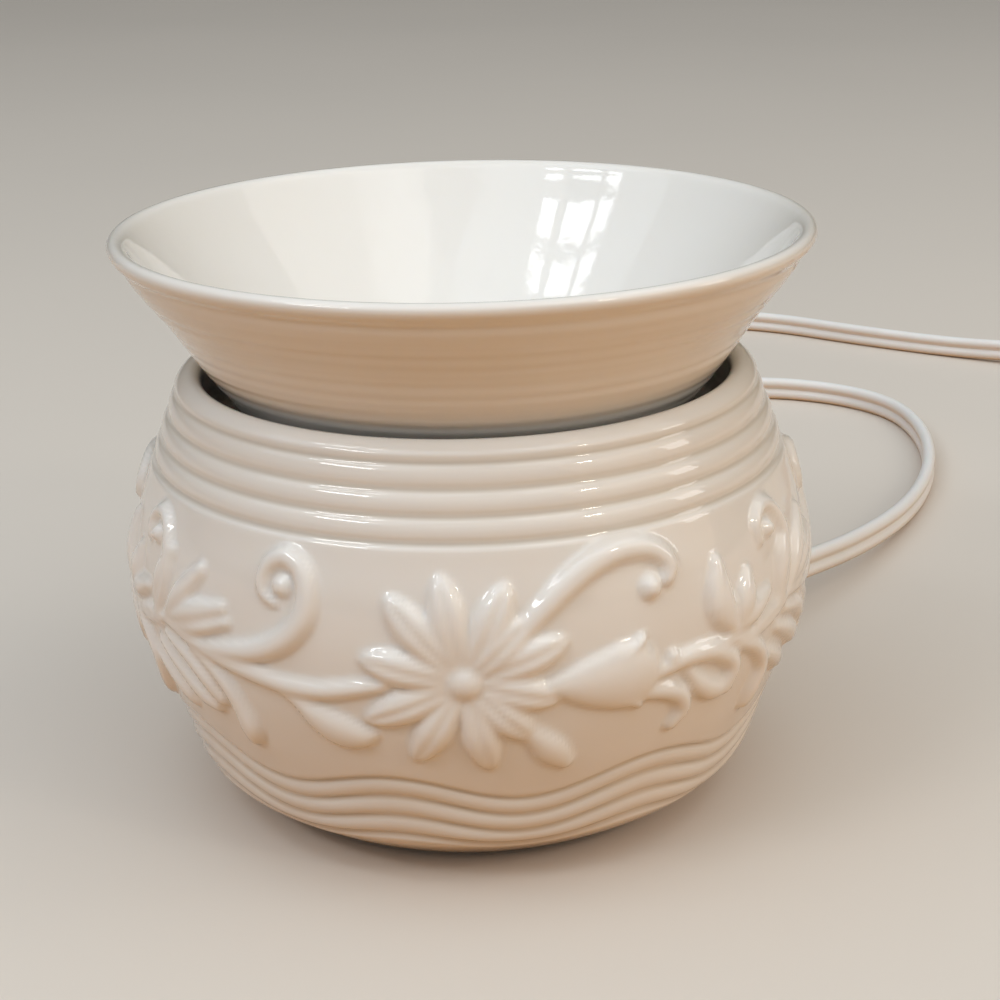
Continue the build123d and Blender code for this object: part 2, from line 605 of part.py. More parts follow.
def tab_beads():
    """Insulating beads in the clamp plate, one round each end of the ribbon."""
    top = RIBBON_BOTTOM
    bead = tube(BEAD_RADIUS, BEAD_BORE_RADIUS, top - BEAD_LENGTH, top)
    beads = [Pos(place.X, place.Y, 0) * bead for place in tab_places()]
    return Compound(children=[each.solid() for each in beads])


def cutoff_place():
    """The cutoff's own frame, under the clamp plate; x runs along its ears."""
    centre = at_angle(CUTOFF_PITCH_RADIUS, CUTOFF_ANGLE, CLAMP_BOTTOM)
    return Pos(centre.X, centre.Y, centre.Z) * Rot(0, 0, CUTOFF_ANGLE + 90)


def both_sides(spacing):
    return (-spacing / 2, spacing / 2)


def cutoff_cap():
    """The metal cap with two ears that touches the clamp plate."""
    face = Circle(CUTOFF_CAP_RADIUS) + SlotCenterToCenter(CUTOFF_EAR_SPACING, 2 * CUTOFF_EAR_RADIUS)
    for x in both_sides(CUTOFF_EAR_SPACING):
        face = face - Pos(x, 0) * Circle(CUTOFF_SCREW_RADIUS)
    return cutoff_place() * extrude(face, -CUTOFF_CAP_THICKNESS)


def cutoff_body():
    body = extrude(Circle(CUTOFF_BODY_RADIUS), -CUTOFF_BODY_HEIGHT)
    return cutoff_place() * Pos(0, 0, -CUTOFF_CAP_THICKNESS) * body


def terminal_top():
    return -CUTOFF_CAP_THICKNESS - CUTOFF_BODY_HEIGHT


def cutoff_terminals():
    """Two upright blades under the cutoff's body."""
    blade = Box(TERMINAL_SHEET, CUTOFF_TERMINAL_WIDTH, CUTOFF_TERMINAL_LENGTH,
                align=(Align.CENTER, Align.CENTER, Align.MAX))
    blades = [cutoff_place() * Pos(x, 0, terminal_top()) * blade for x in both_sides(CUTOFF_TERMINAL_SPACING)]
    return Compound(children=[each.solid() for each in blades])


def cutoff_screws():
    """Two screws through the ears, with their tips in the clamp plate's lower face."""
    head_top = -CUTOFF_CAP_THICKNESS
    screw = extrude(Circle(CUTOFF_SCREW_RADIUS), -CUTOFF_CAP_THICKNESS)
    head = Pos(0, 0, head_top) * extrude(Circle(CUTOFF_SCREW_HEAD_RADIUS), -CUTOFF_SCREW_HEAD_HEIGHT)
    slot = Pos(0, 0, head_top - CUTOFF_SCREW_HEAD_HEIGHT) * Box(
        2 * CUTOFF_SCREW_HEAD_RADIUS, TERMINAL_SHEET, CUTOFF_SCREW_HEAD_HEIGHT)
    whole = screw + head - slot
    screws = [cutoff_place() * Pos(x, 0, 0) * whole for x in both_sides(CUTOFF_EAR_SPACING)]
    return Compound(children=[each.solid() for each in screws])


def terminal_ends():
    """The lower ends of the cutoff's blades, in the part's own frame."""
    low = terminal_top() - CUTOFF_TERMINAL_LENGTH
    return [(cutoff_place() * Pos(x, 0, low)).position for x in both_sides(CUTOFF_TERMINAL_SPACING)]


def tab_ends():
    """The lower ends of the ribbon's turned-down strips."""
    low = RIBBON_TOP - TAB_LENGTH
    return [Vector(place.X, place.Y, low) for place in tab_places()]


def crimp_ends():
    """Where each crimp sleeve begins, just below its blade or strip."""
    return terminal_ends() + tab_ends()


def crimp_sleeves():
    """Closed sleeves that join the wires to the blades and strips."""
    sleeve = extrude(Circle(CRIMP_RADIUS), -CRIMP_LENGTH)
    sleeves = [Pos(end.X, end.Y, end.Z) * sleeve for end in crimp_ends()]
    return Compound(children=[each.solid() for each in sleeves])


def wire(points):
    """An insulated wire bent through the given points."""
    path = FilletPolyline(*points, radius=WIRE_BEND_RADIUS)
    section = Plane(origin=path @ 0, z_dir=path % 0) * Circle(WIRE_RADIUS)
    return sweep(section, path)


def below(point, drop):
    return Vector(point.X, point.Y, point.Z - drop)


def supply_wire(core, crimp_start):
    """A wire from one core of the cord, up through the grommet, to a crimp sleeve."""
    side = -1 if core == 0 else 1
    start = stub_inner_end() + Vector(0, 0, side * LOBE_OFFSET)
    inward = at_angle(-1, EXIT_ANGLE, 0)
    across = at_angle(1, GROMMET_ANGLE, 0)
    place = grommet_place() + across * (side * WIRE_SPREAD)
    low = Vector(place.X, place.Y, PAN_BOTTOM - 4 * WIRE_BEND_RADIUS)
    high = Vector(place.X, place.Y, PAN_FLOOR + SUPPLY_WIRE_LIFTS[core])
    target = below(crimp_start, CRIMP_LENGTH)
    knee = start + inward * SUPPLY_WIRE_RUNS[core]
    under = Vector(target.X, target.Y, high.Z)
    return wire([start, knee, low, high, under, target])


def link_wire():
    """The short wire from the cutoff to the other end of the ribbon."""
    ends = crimp_ends()
    first = below(ends[1], CRIMP_LENGTH)
    last = below(ends[3], CRIMP_LENGTH)
    level = PAN_FLOOR + LINK_WIRE_LIFT
    return wire([first, Vector(first.X, first.Y, level), Vector(last.X, last.Y, level), last])


def stub_inner_end():
    """The inner end of the cord, inside the base."""
    return at_angle(barrel_start() - STUB_LENGTH, EXIT_ANGLE, EXIT_HEIGHT)


def cord_face():
    """The cord's section: two round lobes, one above the other, and the web between them."""
    lobes = Pos(0, LOBE_OFFSET) * Circle(LOBE_RADIUS) + Pos(0, -LOBE_OFFSET) * Circle(LOBE_RADIUS)
    return lobes + Rectangle(CORD_WEB, 2 * LOBE_OFFSET)


def cord_along(path):
    """The flat cord on edge along a path, with its volume set against section times length."""
    start = path @ 0
    along = path % 0
    plane = Plane(origin=start, x_dir=Vector(0, 0, 1).cross(along), z_dir=along)
    face = plane * cord_face()
    solid = sweep(face, path)
    expected = cord_face().area * path.length
    print(f"  cord length {path.length:.1f}, volume over section times length {solid.volume / expected:.4f}")
    return solid


def routed(points):
    """Straight runs joined by arcs, each arc as large as its two runs allow."""
    corners = [Vector(*point) for point in points]
    radii = []
    for before, corner, after in zip(corners, corners[1:], corners[2:]):
        first = corner - before
        second = after - corner
        turn = math.radians(first.get_angle(second))
        radii.append(FILLET_SHARE * min(first.length, second.length) / math.tan(turn / 2))
    print("  radii", [round(radius, 1) for radius in radii])
    return FilletPolyline(*corners, radius=radii)


def flange_face():
    """How far out the strain relief's flange begins, just clear of the wall above its middle."""
    return outside_radius(EXIT_HEIGHT + BUSHING_FLANGE_RADIUS) + BUSHING_FLANGE_GAP


def barrel_start():
    """The inner end of the strain relief, inside the base."""
    return flange_face() - BUSHING_BARREL_LENGTH


def cord_bushing():
    """The rubber strain relief: a barrel in the wall, a flange outside it and a tapered, grooved tail."""
    barrel = BUSHING_BORE_RADIUS - BUSHING_CLEARANCE
    flange_end = flange_face() + BUSHING_FLANGE_THICKNESS
    tail_end = flange_end + BUSHING_TAIL_LENGTH
    solid = outward_turned([
        (barrel_start(), 0), (barrel_start(), barrel), (flange_face(), barrel),
        (flange_face(), BUSHING_FLANGE_RADIUS), (flange_end, BUSHING_FLANGE_RADIUS),
        (flange_end, BUSHING_TAIL_START_RADIUS), (tail_end, BUSHING_TAIL_END_RADIUS), (tail_end, 0)])
    step = BUSHING_TAIL_LENGTH / (BUSHING_GROOVES + 1)
    for index in range(BUSHING_GROOVES):
        middle = flange_end + step * (index + 1)
        share = step * (index + 1) / BUSHING_TAIL_LENGTH
        skin = BUSHING_TAIL_START_RADIUS + share * (BUSHING_TAIL_END_RADIUS - BUSHING_TAIL_START_RADIUS)
        low = middle - BUSHING_GROOVE_WIDTH / 2
        high = middle + BUSHING_GROOVE_WIDTH / 2
        depth = skin - BUSHING_GROOVE_DEPTH
        rim = skin + OVERRUN
        solid = solid - outward_turned([(low, depth), (low, rim), (high, rim), (high, depth)])
    return solid


def bushing_end():
    reach = flange_face() + BUSHING_FLANGE_THICKNESS + BUSHING_TAIL_LENGTH
    return at_angle(reach, EXIT_ANGLE, EXIT_HEIGHT)


def cord_stub():
    """The cord's last stretch inside the base."""
    return cord_along(Line(stub_inner_end(), at_angle(barrel_start(), EXIT_ANGLE, EXIT_HEIGHT)))


def cord_lead():
    """The cord from the strain relief, round behind the base and out to the switch."""
    straight_end = bushing_end() + at_angle(EXIT_STRAIGHT, EXIT_ANGLE, 0)
    return cord_along(routed([bushing_end(), straight_end] + LEAD_POINTS))


def switch_frame():
    """The switch's own frame: x along the cord, z up, origin on the table below its middle."""
    before = Vector(*LEAD_POINTS[-2])
    entry = Vector(*LEAD_POINTS[-1])
    along = (entry - before).normalized()
    middle = entry + along * (SWITCH_LENGTH / 2)
    return Plane(origin=(middle.X, middle.Y, 0), x_dir=along, z_dir=(0, 0, 1))


def switch_axis():
    """The height of the cord in the switch."""
    return LEAD_POINTS[-1][2]


def switch_plan(inset):
    """The switch seen from above: a long body that narrows to a nose at each end."""
    half = SWITCH_LENGTH / 2 - inset
    side = SWITCH_WIDTH / 2 - inset
    nose = CORD_THICKNESS / 2 + 2 * SWITCH_WALL - inset
    shoulder = half - SWITCH_NOSE_LENGTH
    return make_face(Polyline(
        (-half, -nose), (-shoulder, -side), (shoulder, -side), (half, -nose),
        (half, nose), (shoulder, side), (-shoulder, side), (-half, nose), close=True))


def screw_places():
    return [(SWITCH_SCREW_X, SWITCH_SCREW_Y), (-SWITCH_SCREW_X, -SWITCH_SCREW_Y)]


def switch_lower():
    """The lower half of the switch, with a floor, walls and bosses for the screws."""
    outer = extrude(switch_plan(0), SWITCH_SPLIT)
    outer = fillet(outer.edges().group_by(Axis.Z)[0], SWITCH_WALL / 2)
    inner = Pos(0, 0, SWITCH_WALL) * extrude(switch_plan(SWITCH_WALL), SWITCH_SPLIT)
    half = outer - inner
    for x, y in screw_places():
        half = half + Pos(x, y, SWITCH_WALL) * extrude(Circle(SWITCH_BOSS_RADIUS), SWITCH_SPLIT - SWITCH_WALL)
        half = half - Pos(x, y, -OVERRUN) * extrude(
            Circle(SWITCH_SCREW_RADIUS + PIN_CLEARANCE), SWITCH_SPLIT + 2 * OVERRUN)
        half = half - Pos(x, y, 0) * extrude(
            Circle(SWITCH_SCREW_HEAD_RADIUS + SWITCH_CORD_CLEARANCE), SWITCH_SCREW_HEAD_HEIGHT)
    return switch_frame() * half


def switch_screws():
    """Two screws from below, with their threads in the upper half's bosses."""
    screws = []
    for x, y in screw_places():
        head = extrude(Circle(SWITCH_SCREW_HEAD_RADIUS), SWITCH_SCREW_HEAD_HEIGHT)
        slot = Box(2 * SWITCH_SCREW_HEAD_RADIUS, CONTACT_SHEET, SWITCH_SCREW_HEAD_HEIGHT)
        shank = extrude(Circle(SWITCH_SCREW_RADIUS), SWITCH_SPLIT + SWITCH_SCREW_DEPTH)
        screws.append(switch_frame() * Pos(x, y, 0) * (head + shank - slot))
    return Compound(children=[each.solid() for each in screws])


def rocker_drum(radius, width):
    """A cylinder across the switch, about the rocker's pivot."""
    return Pos(0, 0, ROCKER_PIVOT_HEIGHT) * Rot(90, 0, 0) * Cylinder(radius, width)


def ear_inner_face():
    return ROCKER_WIDTH / 2 + ROCKER_CLEARANCE


def switch_upper():
    """The upper half of the switch, with the rocker's opening, its two bearing ears and screw bosses."""
    height = SWITCH_HEIGHT - SWITCH_SPLIT
    outer = extrude(switch_plan(0), height)
    outer = fillet(outer.edges().group_by(Axis.Z)[-1], SWITCH_ROUND)
    inner = Pos(0, 0, -SWITCH_WALL) * extrude(switch_plan(SWITCH_WALL), height)
    half = Pos(0, 0, SWITCH_SPLIT) * (outer - inner)
    roof = SWITCH_HEIGHT - SWITCH_WALL
    for side in (-1, 1):
        middle = side * (ear_inner_face() + EAR_THICKNESS / 2)
        ear = Pos(0, middle, (ROCKER_PIVOT_HEIGHT + roof) / 2) * Box(
            2 * EAR_RADIUS, EAR_THICKNESS, roof - ROCKER_PIVOT_HEIGHT)
        round_end = Pos(0, middle, ROCKER_PIVOT_HEIGHT) * Rot(90, 0, 0) * Cylinder(EAR_RADIUS, EAR_THICKNESS)
        half = half + ear + round_end
    for x, y in screw_places():
        half = half + Pos(x, y, SWITCH_SPLIT) * extrude(Circle(SWITCH_BOSS_RADIUS), roof - SWITCH_SPLIT)
        half = half - Pos(x, y, SWITCH_SPLIT - OVERRUN) * extrude(
            Circle(SWITCH_SCREW_RADIUS), SWITCH_SCREW_DEPTH + OVERRUN)
    half = half - rocker_drum(ROCKER_RADIUS + ROCKER_CLEARANCE, 2 * ear_inner_face())
    half = half - rocker_drum(PIN_RADIUS + PIN_CLEARANCE, 2 * (ear_inner_face() + EAR_THICKNESS + OVERRUN))
    return switch_frame() * half


def rocker_shape():
    """The rocker level: a drum with a shallow valley on top, cut off below, with pins and a leg."""
    drum = rocker_drum(ROCKER_RADIUS, ROCKER_WIDTH)
    rise = ROCKER_RADIUS * math.tan(math.radians(ROCKER_TILT))
    valley = make_face(Polyline(
        (0, ROCKER_VALLEY), (ROCKER_RADIUS, ROCKER_VALLEY + rise),
        (ROCKER_RADIUS, ROCKER_RADIUS + OVERRUN), (-ROCKER_RADIUS, ROCKER_RADIUS + OVERRUN),
        (-ROCKER_RADIUS, ROCKER_VALLEY + rise), close=True))
    above = extrude(Plane.XZ * valley, ROCKER_WIDTH, both=True)
    below_block = Box(2 * ROCKER_RADIUS + OVERRUN, 2 * ROCKER_WIDTH, ROCKER_RADIUS,
                      align=(Align.CENTER, Align.CENTER, Align.MAX))
    shape = drum - Pos(0, 0, ROCKER_PIVOT_HEIGHT) * above
    shape = shape - Pos(0, 0, ROCKER_PIVOT_HEIGHT - ROCKER_BASE_DROP) * below_block
    leg = Box(ROCKER_LEG_WIDTH, ROCKER_LEG_WIDTH, ROCKER_LEG_DROP,
              align=(Align.CENTER, Align.CENTER, Align.MAX))
    return shape + Pos(0, 0, ROCKER_PIVOT_HEIGHT) * leg + rocker_drum(PIN_RADIUS, ROCKER_WIDTH + 2 * PIN_LENGTH)


def tilted(shape):
    """A shape turned with the rocker into its position at rest."""
    up = Pos(0, 0, ROCKER_PIVOT_HEIGHT)
    down = Pos(0, 0, -ROCKER_PIVOT_HEIGHT)
    return switch_frame() * up * Rot(0, -ROCKER_TILT, 0) * down * shape


def switch_rocker():
    return tilted(rocker_shape())


def switch_contact():
    """The brass strip under the rocker's leg."""
    low = ROCKER_PIVOT_HEIGHT - ROCKER_LEG_DROP
    strip = Box(CONTACT_LENGTH, CONTACT_WIDTH, CONTACT_SHEET, align=(Align.CENTER, Align.CENTER, Align.MAX))
    return tilted(Pos(0, 0, low) * strip)


def switch_terminals():
    """Two brass blocks on the floor of the switch, beyond the reach of the moving strip."""
    block = Box(FIXED_CONTACT_LENGTH, FIXED_CONTACT_WIDTH, FIXED_CONTACT_HEIGHT,
                align=(Align.MIN, Align.CENTER, Align.MIN))
    right = Pos(FIXED_CONTACT_X, 0, SWITCH_WALL) * block
    left = Pos(-FIXED_CONTACT_X - FIXED_CONTACT_LENGTH, 0, SWITCH_WALL) * block
    return Compound(children=[(switch_frame() * each).solid() for each in (left, right)])


def mid_points():
    """The short stretch from the switch to the start of the coil."""
    frame = switch_frame()
    half = SWITCH_LENGTH / 2
    places = [(half, switch_axis()), (half + MID_STRAIGHT, switch_axis()),
              (half + MID_LENGTH - MID_STRAIGHT, COIL_HEIGHT), (half + MID_LENGTH, COIL_HEIGHT)]
    return [frame.from_local_coords(Vector(along, 0, height)) for along, height in places]


def cord_mid():
    return cord_along(routed(mid_points()))


def coil_centre():
    """The coil turns clockwise, so its middle lies to the right of the cord that enters it."""
    across = switch_frame().y_dir
    start = coil_start()
    return Vector(start.X, start.Y, 0) - across * COIL_OUTER_RADIUS


def coil_start():
    """Where the turns begin, one cord width past the stretch that comes from the switch."""
    return mid_points()[-1] + switch_frame().x_dir * CORD_WIDTH


def coil_radius(turn):
    """Radius of the spiral after some turns: in at a steady rate, then out again."""
    return COIL_OUTER_RADIUS - COIL_PITCH * min(turn, COIL_TURNS - turn)


def coil_point(turn):
    """A point of the spiral: the lower layer winds in, the upper layer winds out."""
    begin = COIL_TURNS / 2 - 0.25
    rise = min(max((turn - begin) / 0.5, 0), 1)
    height = COIL_HEIGHT + COIL_LAYER_RISE * (1 - math.cos(math.pi * rise)) / 2
    first = switch_frame().y_dir
    angle = math.atan2(first.Y, first.X) - 2 * math.pi * turn
    centre = coil_centre()
    radius = coil_radius(turn)
    return Vector(centre.X + radius * math.cos(angle), centre.Y + radius * math.sin(angle), height)


def coil_direction(turn):
    """The way the cord runs at a point of the spiral; level at both ends of the coil."""
    step = 0.001
    if turn <= 0:
        return switch_frame().x_dir
    if turn >= COIL_TURNS:
        first = switch_frame().y_dir
        angle = math.atan2(first.Y, first.X) - 2 * math.pi * COIL_TURNS - math.pi / 2
        return Vector(math.cos(angle), math.sin(angle), 0)
    return (coil_point(turn + step) - coil_point(turn - step)).normalized()


def biarc(start, along, end, onward):
    """Two arcs that leave the start along one direction and reach the end along another."""
    span = end - start
    total = along + onward
    share = 2 * (1 - along.dot(onward))
    reach = (-span.dot(total) + math.sqrt(span.dot(total) ** 2 + share * span.dot(span))) / share
    middle = (start + end + (along - onward) * reach) * 0.5
    first = TangentArc(start, middle, tangent=along)
    second = TangentArc(middle, end, tangent=first % 1)
    return [first.edge(), second.edge()]


def coil_edges():
    """The coil's middle line: a straight end, biarcs of a quarter turn, and a straight end."""
    quarters = round(COIL_TURNS * 4)
    turns = [COIL_TURNS * index / quarters for index in range(quarters + 1)]
    edges = [Line(mid_points()[-1], coil_point(0)).edge()]
    for first, second in zip(turns, turns[1:]):
        edges += biarc(coil_point(first), coil_direction(first), coil_point(second), coil_direction(second))
    edges.append(Line(coil_point(COIL_TURNS), coil_end()).edge())
    return edges


def coil_end():
    return coil_point(COIL_TURNS) + coil_direction(COIL_TURNS) * CORD_WIDTH


def least_coil_gap(path):
    """The least gap between turns of the coil, measured between its lobes on points of its middle line."""
    count = 700
    step = path.length / count
    points = [path @ (index / count) for index in range(count + 1)]
    apart = math.ceil(2 * math.pi * (COIL_OUTER_RADIUS - COIL_PITCH * COIL_TURNS / 2) * 0.5 / step)
    least = math.inf
    for index, point in enumerate(points):
        for other in points[index + apart:]:
            level = math.hypot(other.X - point.X, other.Y - point.Y)
            drop = abs(other.Z - point.Z)
            upright = min(drop, abs(drop - 2 * LOBE_OFFSET))
            least = min(least, math.hypot(level, upright) - CORD_THICKNESS)
    return least


def cord_coil():
    """The put-away length: one unbroken tube that winds in below and out again above."""
    path = Wire(coil_edges())
    print(f"  least gap between turns {least_coil_gap(path):.2f}")
    return cord_along(path)


def coil_tie():
    """The strip that holds the turns together, with its twisted ends standing outward."""
    inner_radius = coil_radius(COIL_TURNS / 2) - CORD_THICKNESS / 2 - TIE_SIDE_GAP
    outer_radius = COIL_OUTER_RADIUS + CORD_THICKNESS / 2 + TIE_SIDE_GAP
    low = COIL_HEIGHT - CORD_WIDTH / 2 - TIE_GAP
    high = COIL_HEIGHT + COIL_LAYER_RISE + CORD_WIDTH / 2 + TIE_GAP
    width = outer_radius - inner_radius
    height = high - low
    hole = Rectangle(width, height)
    band = Rectangle(width + 2 * TIE_THICKNESS, height + 2 * TIE_THICKNESS)
    band = fillet(band.vertices(), TIE_THICKNESS)
    loop = extrude(Plane.XZ * (band - hole), TIE_WIDTH / 2, both=True)
    twist = Pos(width / 2 + TIE_THICKNESS / 2, 0, 0) * Rot(0, 90, 0) * Cylinder(
        TIE_THICKNESS, TIE_TAIL_LENGTH, align=(Align.CENTER, Align.CENTER, Align.MIN))
    centre = coil_centre()
    middle_radius = (inner_radius + outer_radius) / 2
    place = Pos(centre.X, centre.Y, (low + high) / 2) * Rot(0, 0, TIE_ANGLE) * Pos(middle_radius, 0, 0)
    return place * (loop + twist)


def tail_end():
    return coil_end() + coil_direction(COIL_TURNS) * TAIL_LENGTH


def cord_tail():
    """The straight stretch from the coil to the plug."""
    return cord_along(Line(coil_end(), tail_end()))


def plug_frame():
    """The plug's own frame: z along the cord towards the blades, y upward."""
    along = coil_direction(COIL_TURNS)
    return Plane(origin=tail_end(), x_dir=Vector(0, 0, 1).cross(along), z_dir=along)


def plug_half_height():
    """The plug lies on the table, so its half height is the height of the cord that enters it."""
    return tail_end().Z


def plug_body():
    """A moulded body that swells from the cord to a flat face, with a finger waist."""
    full = 2 * plug_half_height()
    neck_end = PLUG_NECK_LENGTH
    body_end = neck_end + PLUG_BODY_LENGTH
    neck = RectangleRounded(PLUG_NECK_THICKNESS, PLUG_NECK_WIDTH, PLUG_ROUND)
    face = RectangleRounded(PLUG_THICKNESS, full, PLUG_ROUND)
    swell = loft([Pos(0, 0, 0) * neck, Pos(0, 0, neck_end) * neck, Pos(0, 0, body_end) * face], ruled=True)
    front = Pos(0, 0, body_end) * extrude(face, PLUG_FACE_LENGTH)
    return plug_frame() * (swell + front)


def plug_blades():
    """Two flat blades with a round hole near their tips."""
    base = PLUG_NECK_LENGTH + PLUG_BODY_LENGTH + PLUG_FACE_LENGTH
    blades = []
    for y in both_sides(BLADE_SPACING):
        blade = Pos(0, y, base + BLADE_LENGTH / 2) * Box(BLADE_WIDTH, BLADE_THICKNESS, BLADE_LENGTH)
        hole = Pos(0, y, base + BLADE_LENGTH - BLADE_HOLE_SETBACK) * Rot(90, 0, 0) * Cylinder(
            BLADE_HOLE_RADIUS, 2 * BLADE_THICKNESS)
        blades.append(plug_frame() * (blade - hole))
    return Compound(children=[each.solid() for each in blades])


def dish_profile(height_shares, radius_shares, low):
    """Points of one side of the dish, in radius and height."""
    pairs = zip(height_shares, radius_shares)
    return [(DISH_RIM_RADIUS * radius, low + DISH_HEIGHT * height) for height, radius in pairs]


def dish():
    """The loose dish: a foot ring, a flared wall and a rounded lip."""
    low = PLATE_TOP
    rim_height = low + DISH_HEIGHT - DISH_LIP_RADIUS
    lean = math.radians(DISH_LIP_LEAN)
    across = DISH_LIP_RADIUS * math.cos(lean)
    along = DISH_LIP_RADIUS * math.sin(lean)
    lip_outer = (DISH_RIM_RADIUS + across, rim_height - along)
    lip_inner = (DISH_RIM_RADIUS - across, rim_height + along)
    lip_top = (DISH_RIM_RADIUS, low + DISH_HEIGHT)
    foot_inner = DISH_FOOT_RADIUS - DISH_FOOT_LAND
    wall_start = (DISH_FOOT_RADIUS + DISH_FOOT_EDGE, low + DISH_FOOT_EDGE)
    outside = [wall_start] + dish_profile(DISH_OUT_HEIGHT_SHARES, DISH_OUT_RADIUS_SHARES, low)[:-1] + [lip_outer]
    inside = [(DISH_FLOOR_RADIUS, low + DISH_FLOOR)]
    inside += dish_profile(DISH_IN_HEIGHT_SHARES, DISH_IN_RADIUS_SHARES, low) + [lip_inner]
    edges = [
        Polyline((0, low + DISH_FOOT_RECESS), (foot_inner, low + DISH_FOOT_RECESS),
                 (foot_inner + DISH_FOOT_EDGE, low), (DISH_FOOT_RADIUS, low), wall_start),
        Spline(*outside),
        ThreePointArc(lip_outer, lip_top, lip_inner),
        Spline(*reversed(inside)),
        Polyline(inside[0], (0, low + DISH_FLOOR), (0, low + DISH_FOOT_RECESS)),
    ]
    return turned(edges)


def main():
    os.makedirs("parts", exist_ok=True)
    ends = crimp_ends()
    pieces = {
        "base_shell": base_shell(),
        "bottom_cover": bottom_cover(),
        "rubber_feet": rubber_feet(),
        "tie_rod": tie_rod(),
        "rod_nuts": rod_nuts(),
        "rod_washer": rod_washer(),
        "heat_pan": heat_pan(),
        "pan_grommet": pan_grommet(),
        "hot_plate": hot_plate(),
        "mica_upper": mica_disc(RIBBON_TOP),
        "heating_element": heating_element(),
        "mica_lower": mica_lower(),
        "clamp_plate": clamp_plate(),
        "tab_beads": tab_beads(),
        "cutoff_cap": cutoff_cap(),
        "cutoff_body": cutoff_body(),
        "cutoff_terminals": cutoff_terminals(),
        "cutoff_screws": cutoff_screws(),
        "crimp_sleeves": crimp_sleeves(),
        "wire_live": supply_wire(0, ends[0]),
        "wire_neutral": supply_wire(1, ends[2]),
        "wire_link": link_wire(),
        "dish": dish(),
        "cord_bushing": cord_bushing(),
        "cord_stub": cord_stub(),
        "cord_lead": cord_lead(),
        "switch_lower": switch_lower(),
        "switch_upper": switch_upper(),
        "switch_rocker": switch_rocker(),
        "switch_contact": switch_contact(),
        "switch_terminals": switch_terminals(),
        "switch_screws": switch_screws(),
        "cord_mid": cord_mid(),
        "cord_coil": cord_coil(),
        "coil_tie": coil_tie(),
        "cord_tail": cord_tail(),
        "plug_body": plug_body(),
        "plug_blades": plug_blades(),
    }
    for node, shape in pieces.items():
        save(shape, node)


main()
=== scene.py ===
# %% [markdown]
# An electric candle warmer in glazed ceramic.
# The real object is a bellied base with flowers pressed into its mould, a hot plate in its mouth, and a loose
# flared dish that was thrown or jiggered on a wheel, so fine rings run round its outside. A flat white cord
# leaves the back. The measured model already holds every piece at its real place. This lesson gives each
# piece its finish, and makes again the few pieces whose surface carries more than a plain turned solid shows.

# %% Load the measured model
import json
import math

import bmesh
import bpy
import numpy as np
from mathutils import Matrix, Vector


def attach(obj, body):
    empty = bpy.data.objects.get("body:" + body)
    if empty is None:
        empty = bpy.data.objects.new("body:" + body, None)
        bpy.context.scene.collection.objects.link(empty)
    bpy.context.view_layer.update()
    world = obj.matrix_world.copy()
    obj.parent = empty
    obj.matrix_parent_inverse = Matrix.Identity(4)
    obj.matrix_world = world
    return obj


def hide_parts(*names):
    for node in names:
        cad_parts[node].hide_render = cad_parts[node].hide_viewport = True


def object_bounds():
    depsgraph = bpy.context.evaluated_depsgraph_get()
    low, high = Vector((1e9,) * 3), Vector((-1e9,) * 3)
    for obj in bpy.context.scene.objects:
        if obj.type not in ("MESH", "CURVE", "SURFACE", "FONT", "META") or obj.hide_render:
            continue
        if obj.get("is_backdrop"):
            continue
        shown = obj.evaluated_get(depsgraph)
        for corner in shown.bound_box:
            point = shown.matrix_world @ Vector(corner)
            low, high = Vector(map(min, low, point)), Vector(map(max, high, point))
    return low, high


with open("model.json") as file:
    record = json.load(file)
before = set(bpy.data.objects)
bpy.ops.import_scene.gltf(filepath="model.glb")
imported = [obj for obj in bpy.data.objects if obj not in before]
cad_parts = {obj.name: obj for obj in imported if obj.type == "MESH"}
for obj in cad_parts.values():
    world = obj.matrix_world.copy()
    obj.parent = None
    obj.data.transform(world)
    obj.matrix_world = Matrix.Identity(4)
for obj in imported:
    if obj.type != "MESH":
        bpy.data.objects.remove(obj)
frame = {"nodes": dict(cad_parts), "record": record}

cad_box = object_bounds()
MM = 0.001
nodes = frame["nodes"]

# %% [markdown]
# The camera comes first, because every later choice is judged through it. A picture taken close by with a
# phone shows strong perspective, so the distance matters as much as the angle. The place, the turn, the tilt
# and the small roll below were worked out from the circles of the lip, the rim and the foot.

# %% Camera
FOCAL_PIXELS = 1967.0
PICTURE_PIXELS = 1000.0
SENSOR_MM = 36.0
NEAREST_SEEN = 0.01
CAMERA_PLACE = Vector((0.0, -369.4, 188.0)) * MM
CAMERA_TURN = math.radians(0.937)
CAMERA_TILT = math.radians(19.651)
CAMERA_ROLL = math.radians(-1.223)


def camera_matrix():
    """The camera's place and axes: to the right, up, and back away from what it looks at."""
    ahead = Vector((math.sin(CAMERA_TURN) * math.cos(CAMERA_TILT),
                    math.cos(CAMERA_TURN) * math.cos(CAMERA_TILT), -math.sin(CAMERA_TILT)))
    level = Vector((math.cos(CAMERA_TURN), -math.sin(CAMERA_TURN), 0.0))
    upright = level.cross(ahead)
    right = level * math.cos(CAMERA_ROLL) + upright * math.sin(CAMERA_ROLL)
    up = upright * math.cos(CAMERA_ROLL) - level * math.sin(CAMERA_ROLL)
    turned = Matrix((right, up, -ahead)).transposed()
    return Matrix.Translation(CAMERA_PLACE) @ turned.to_4x4()


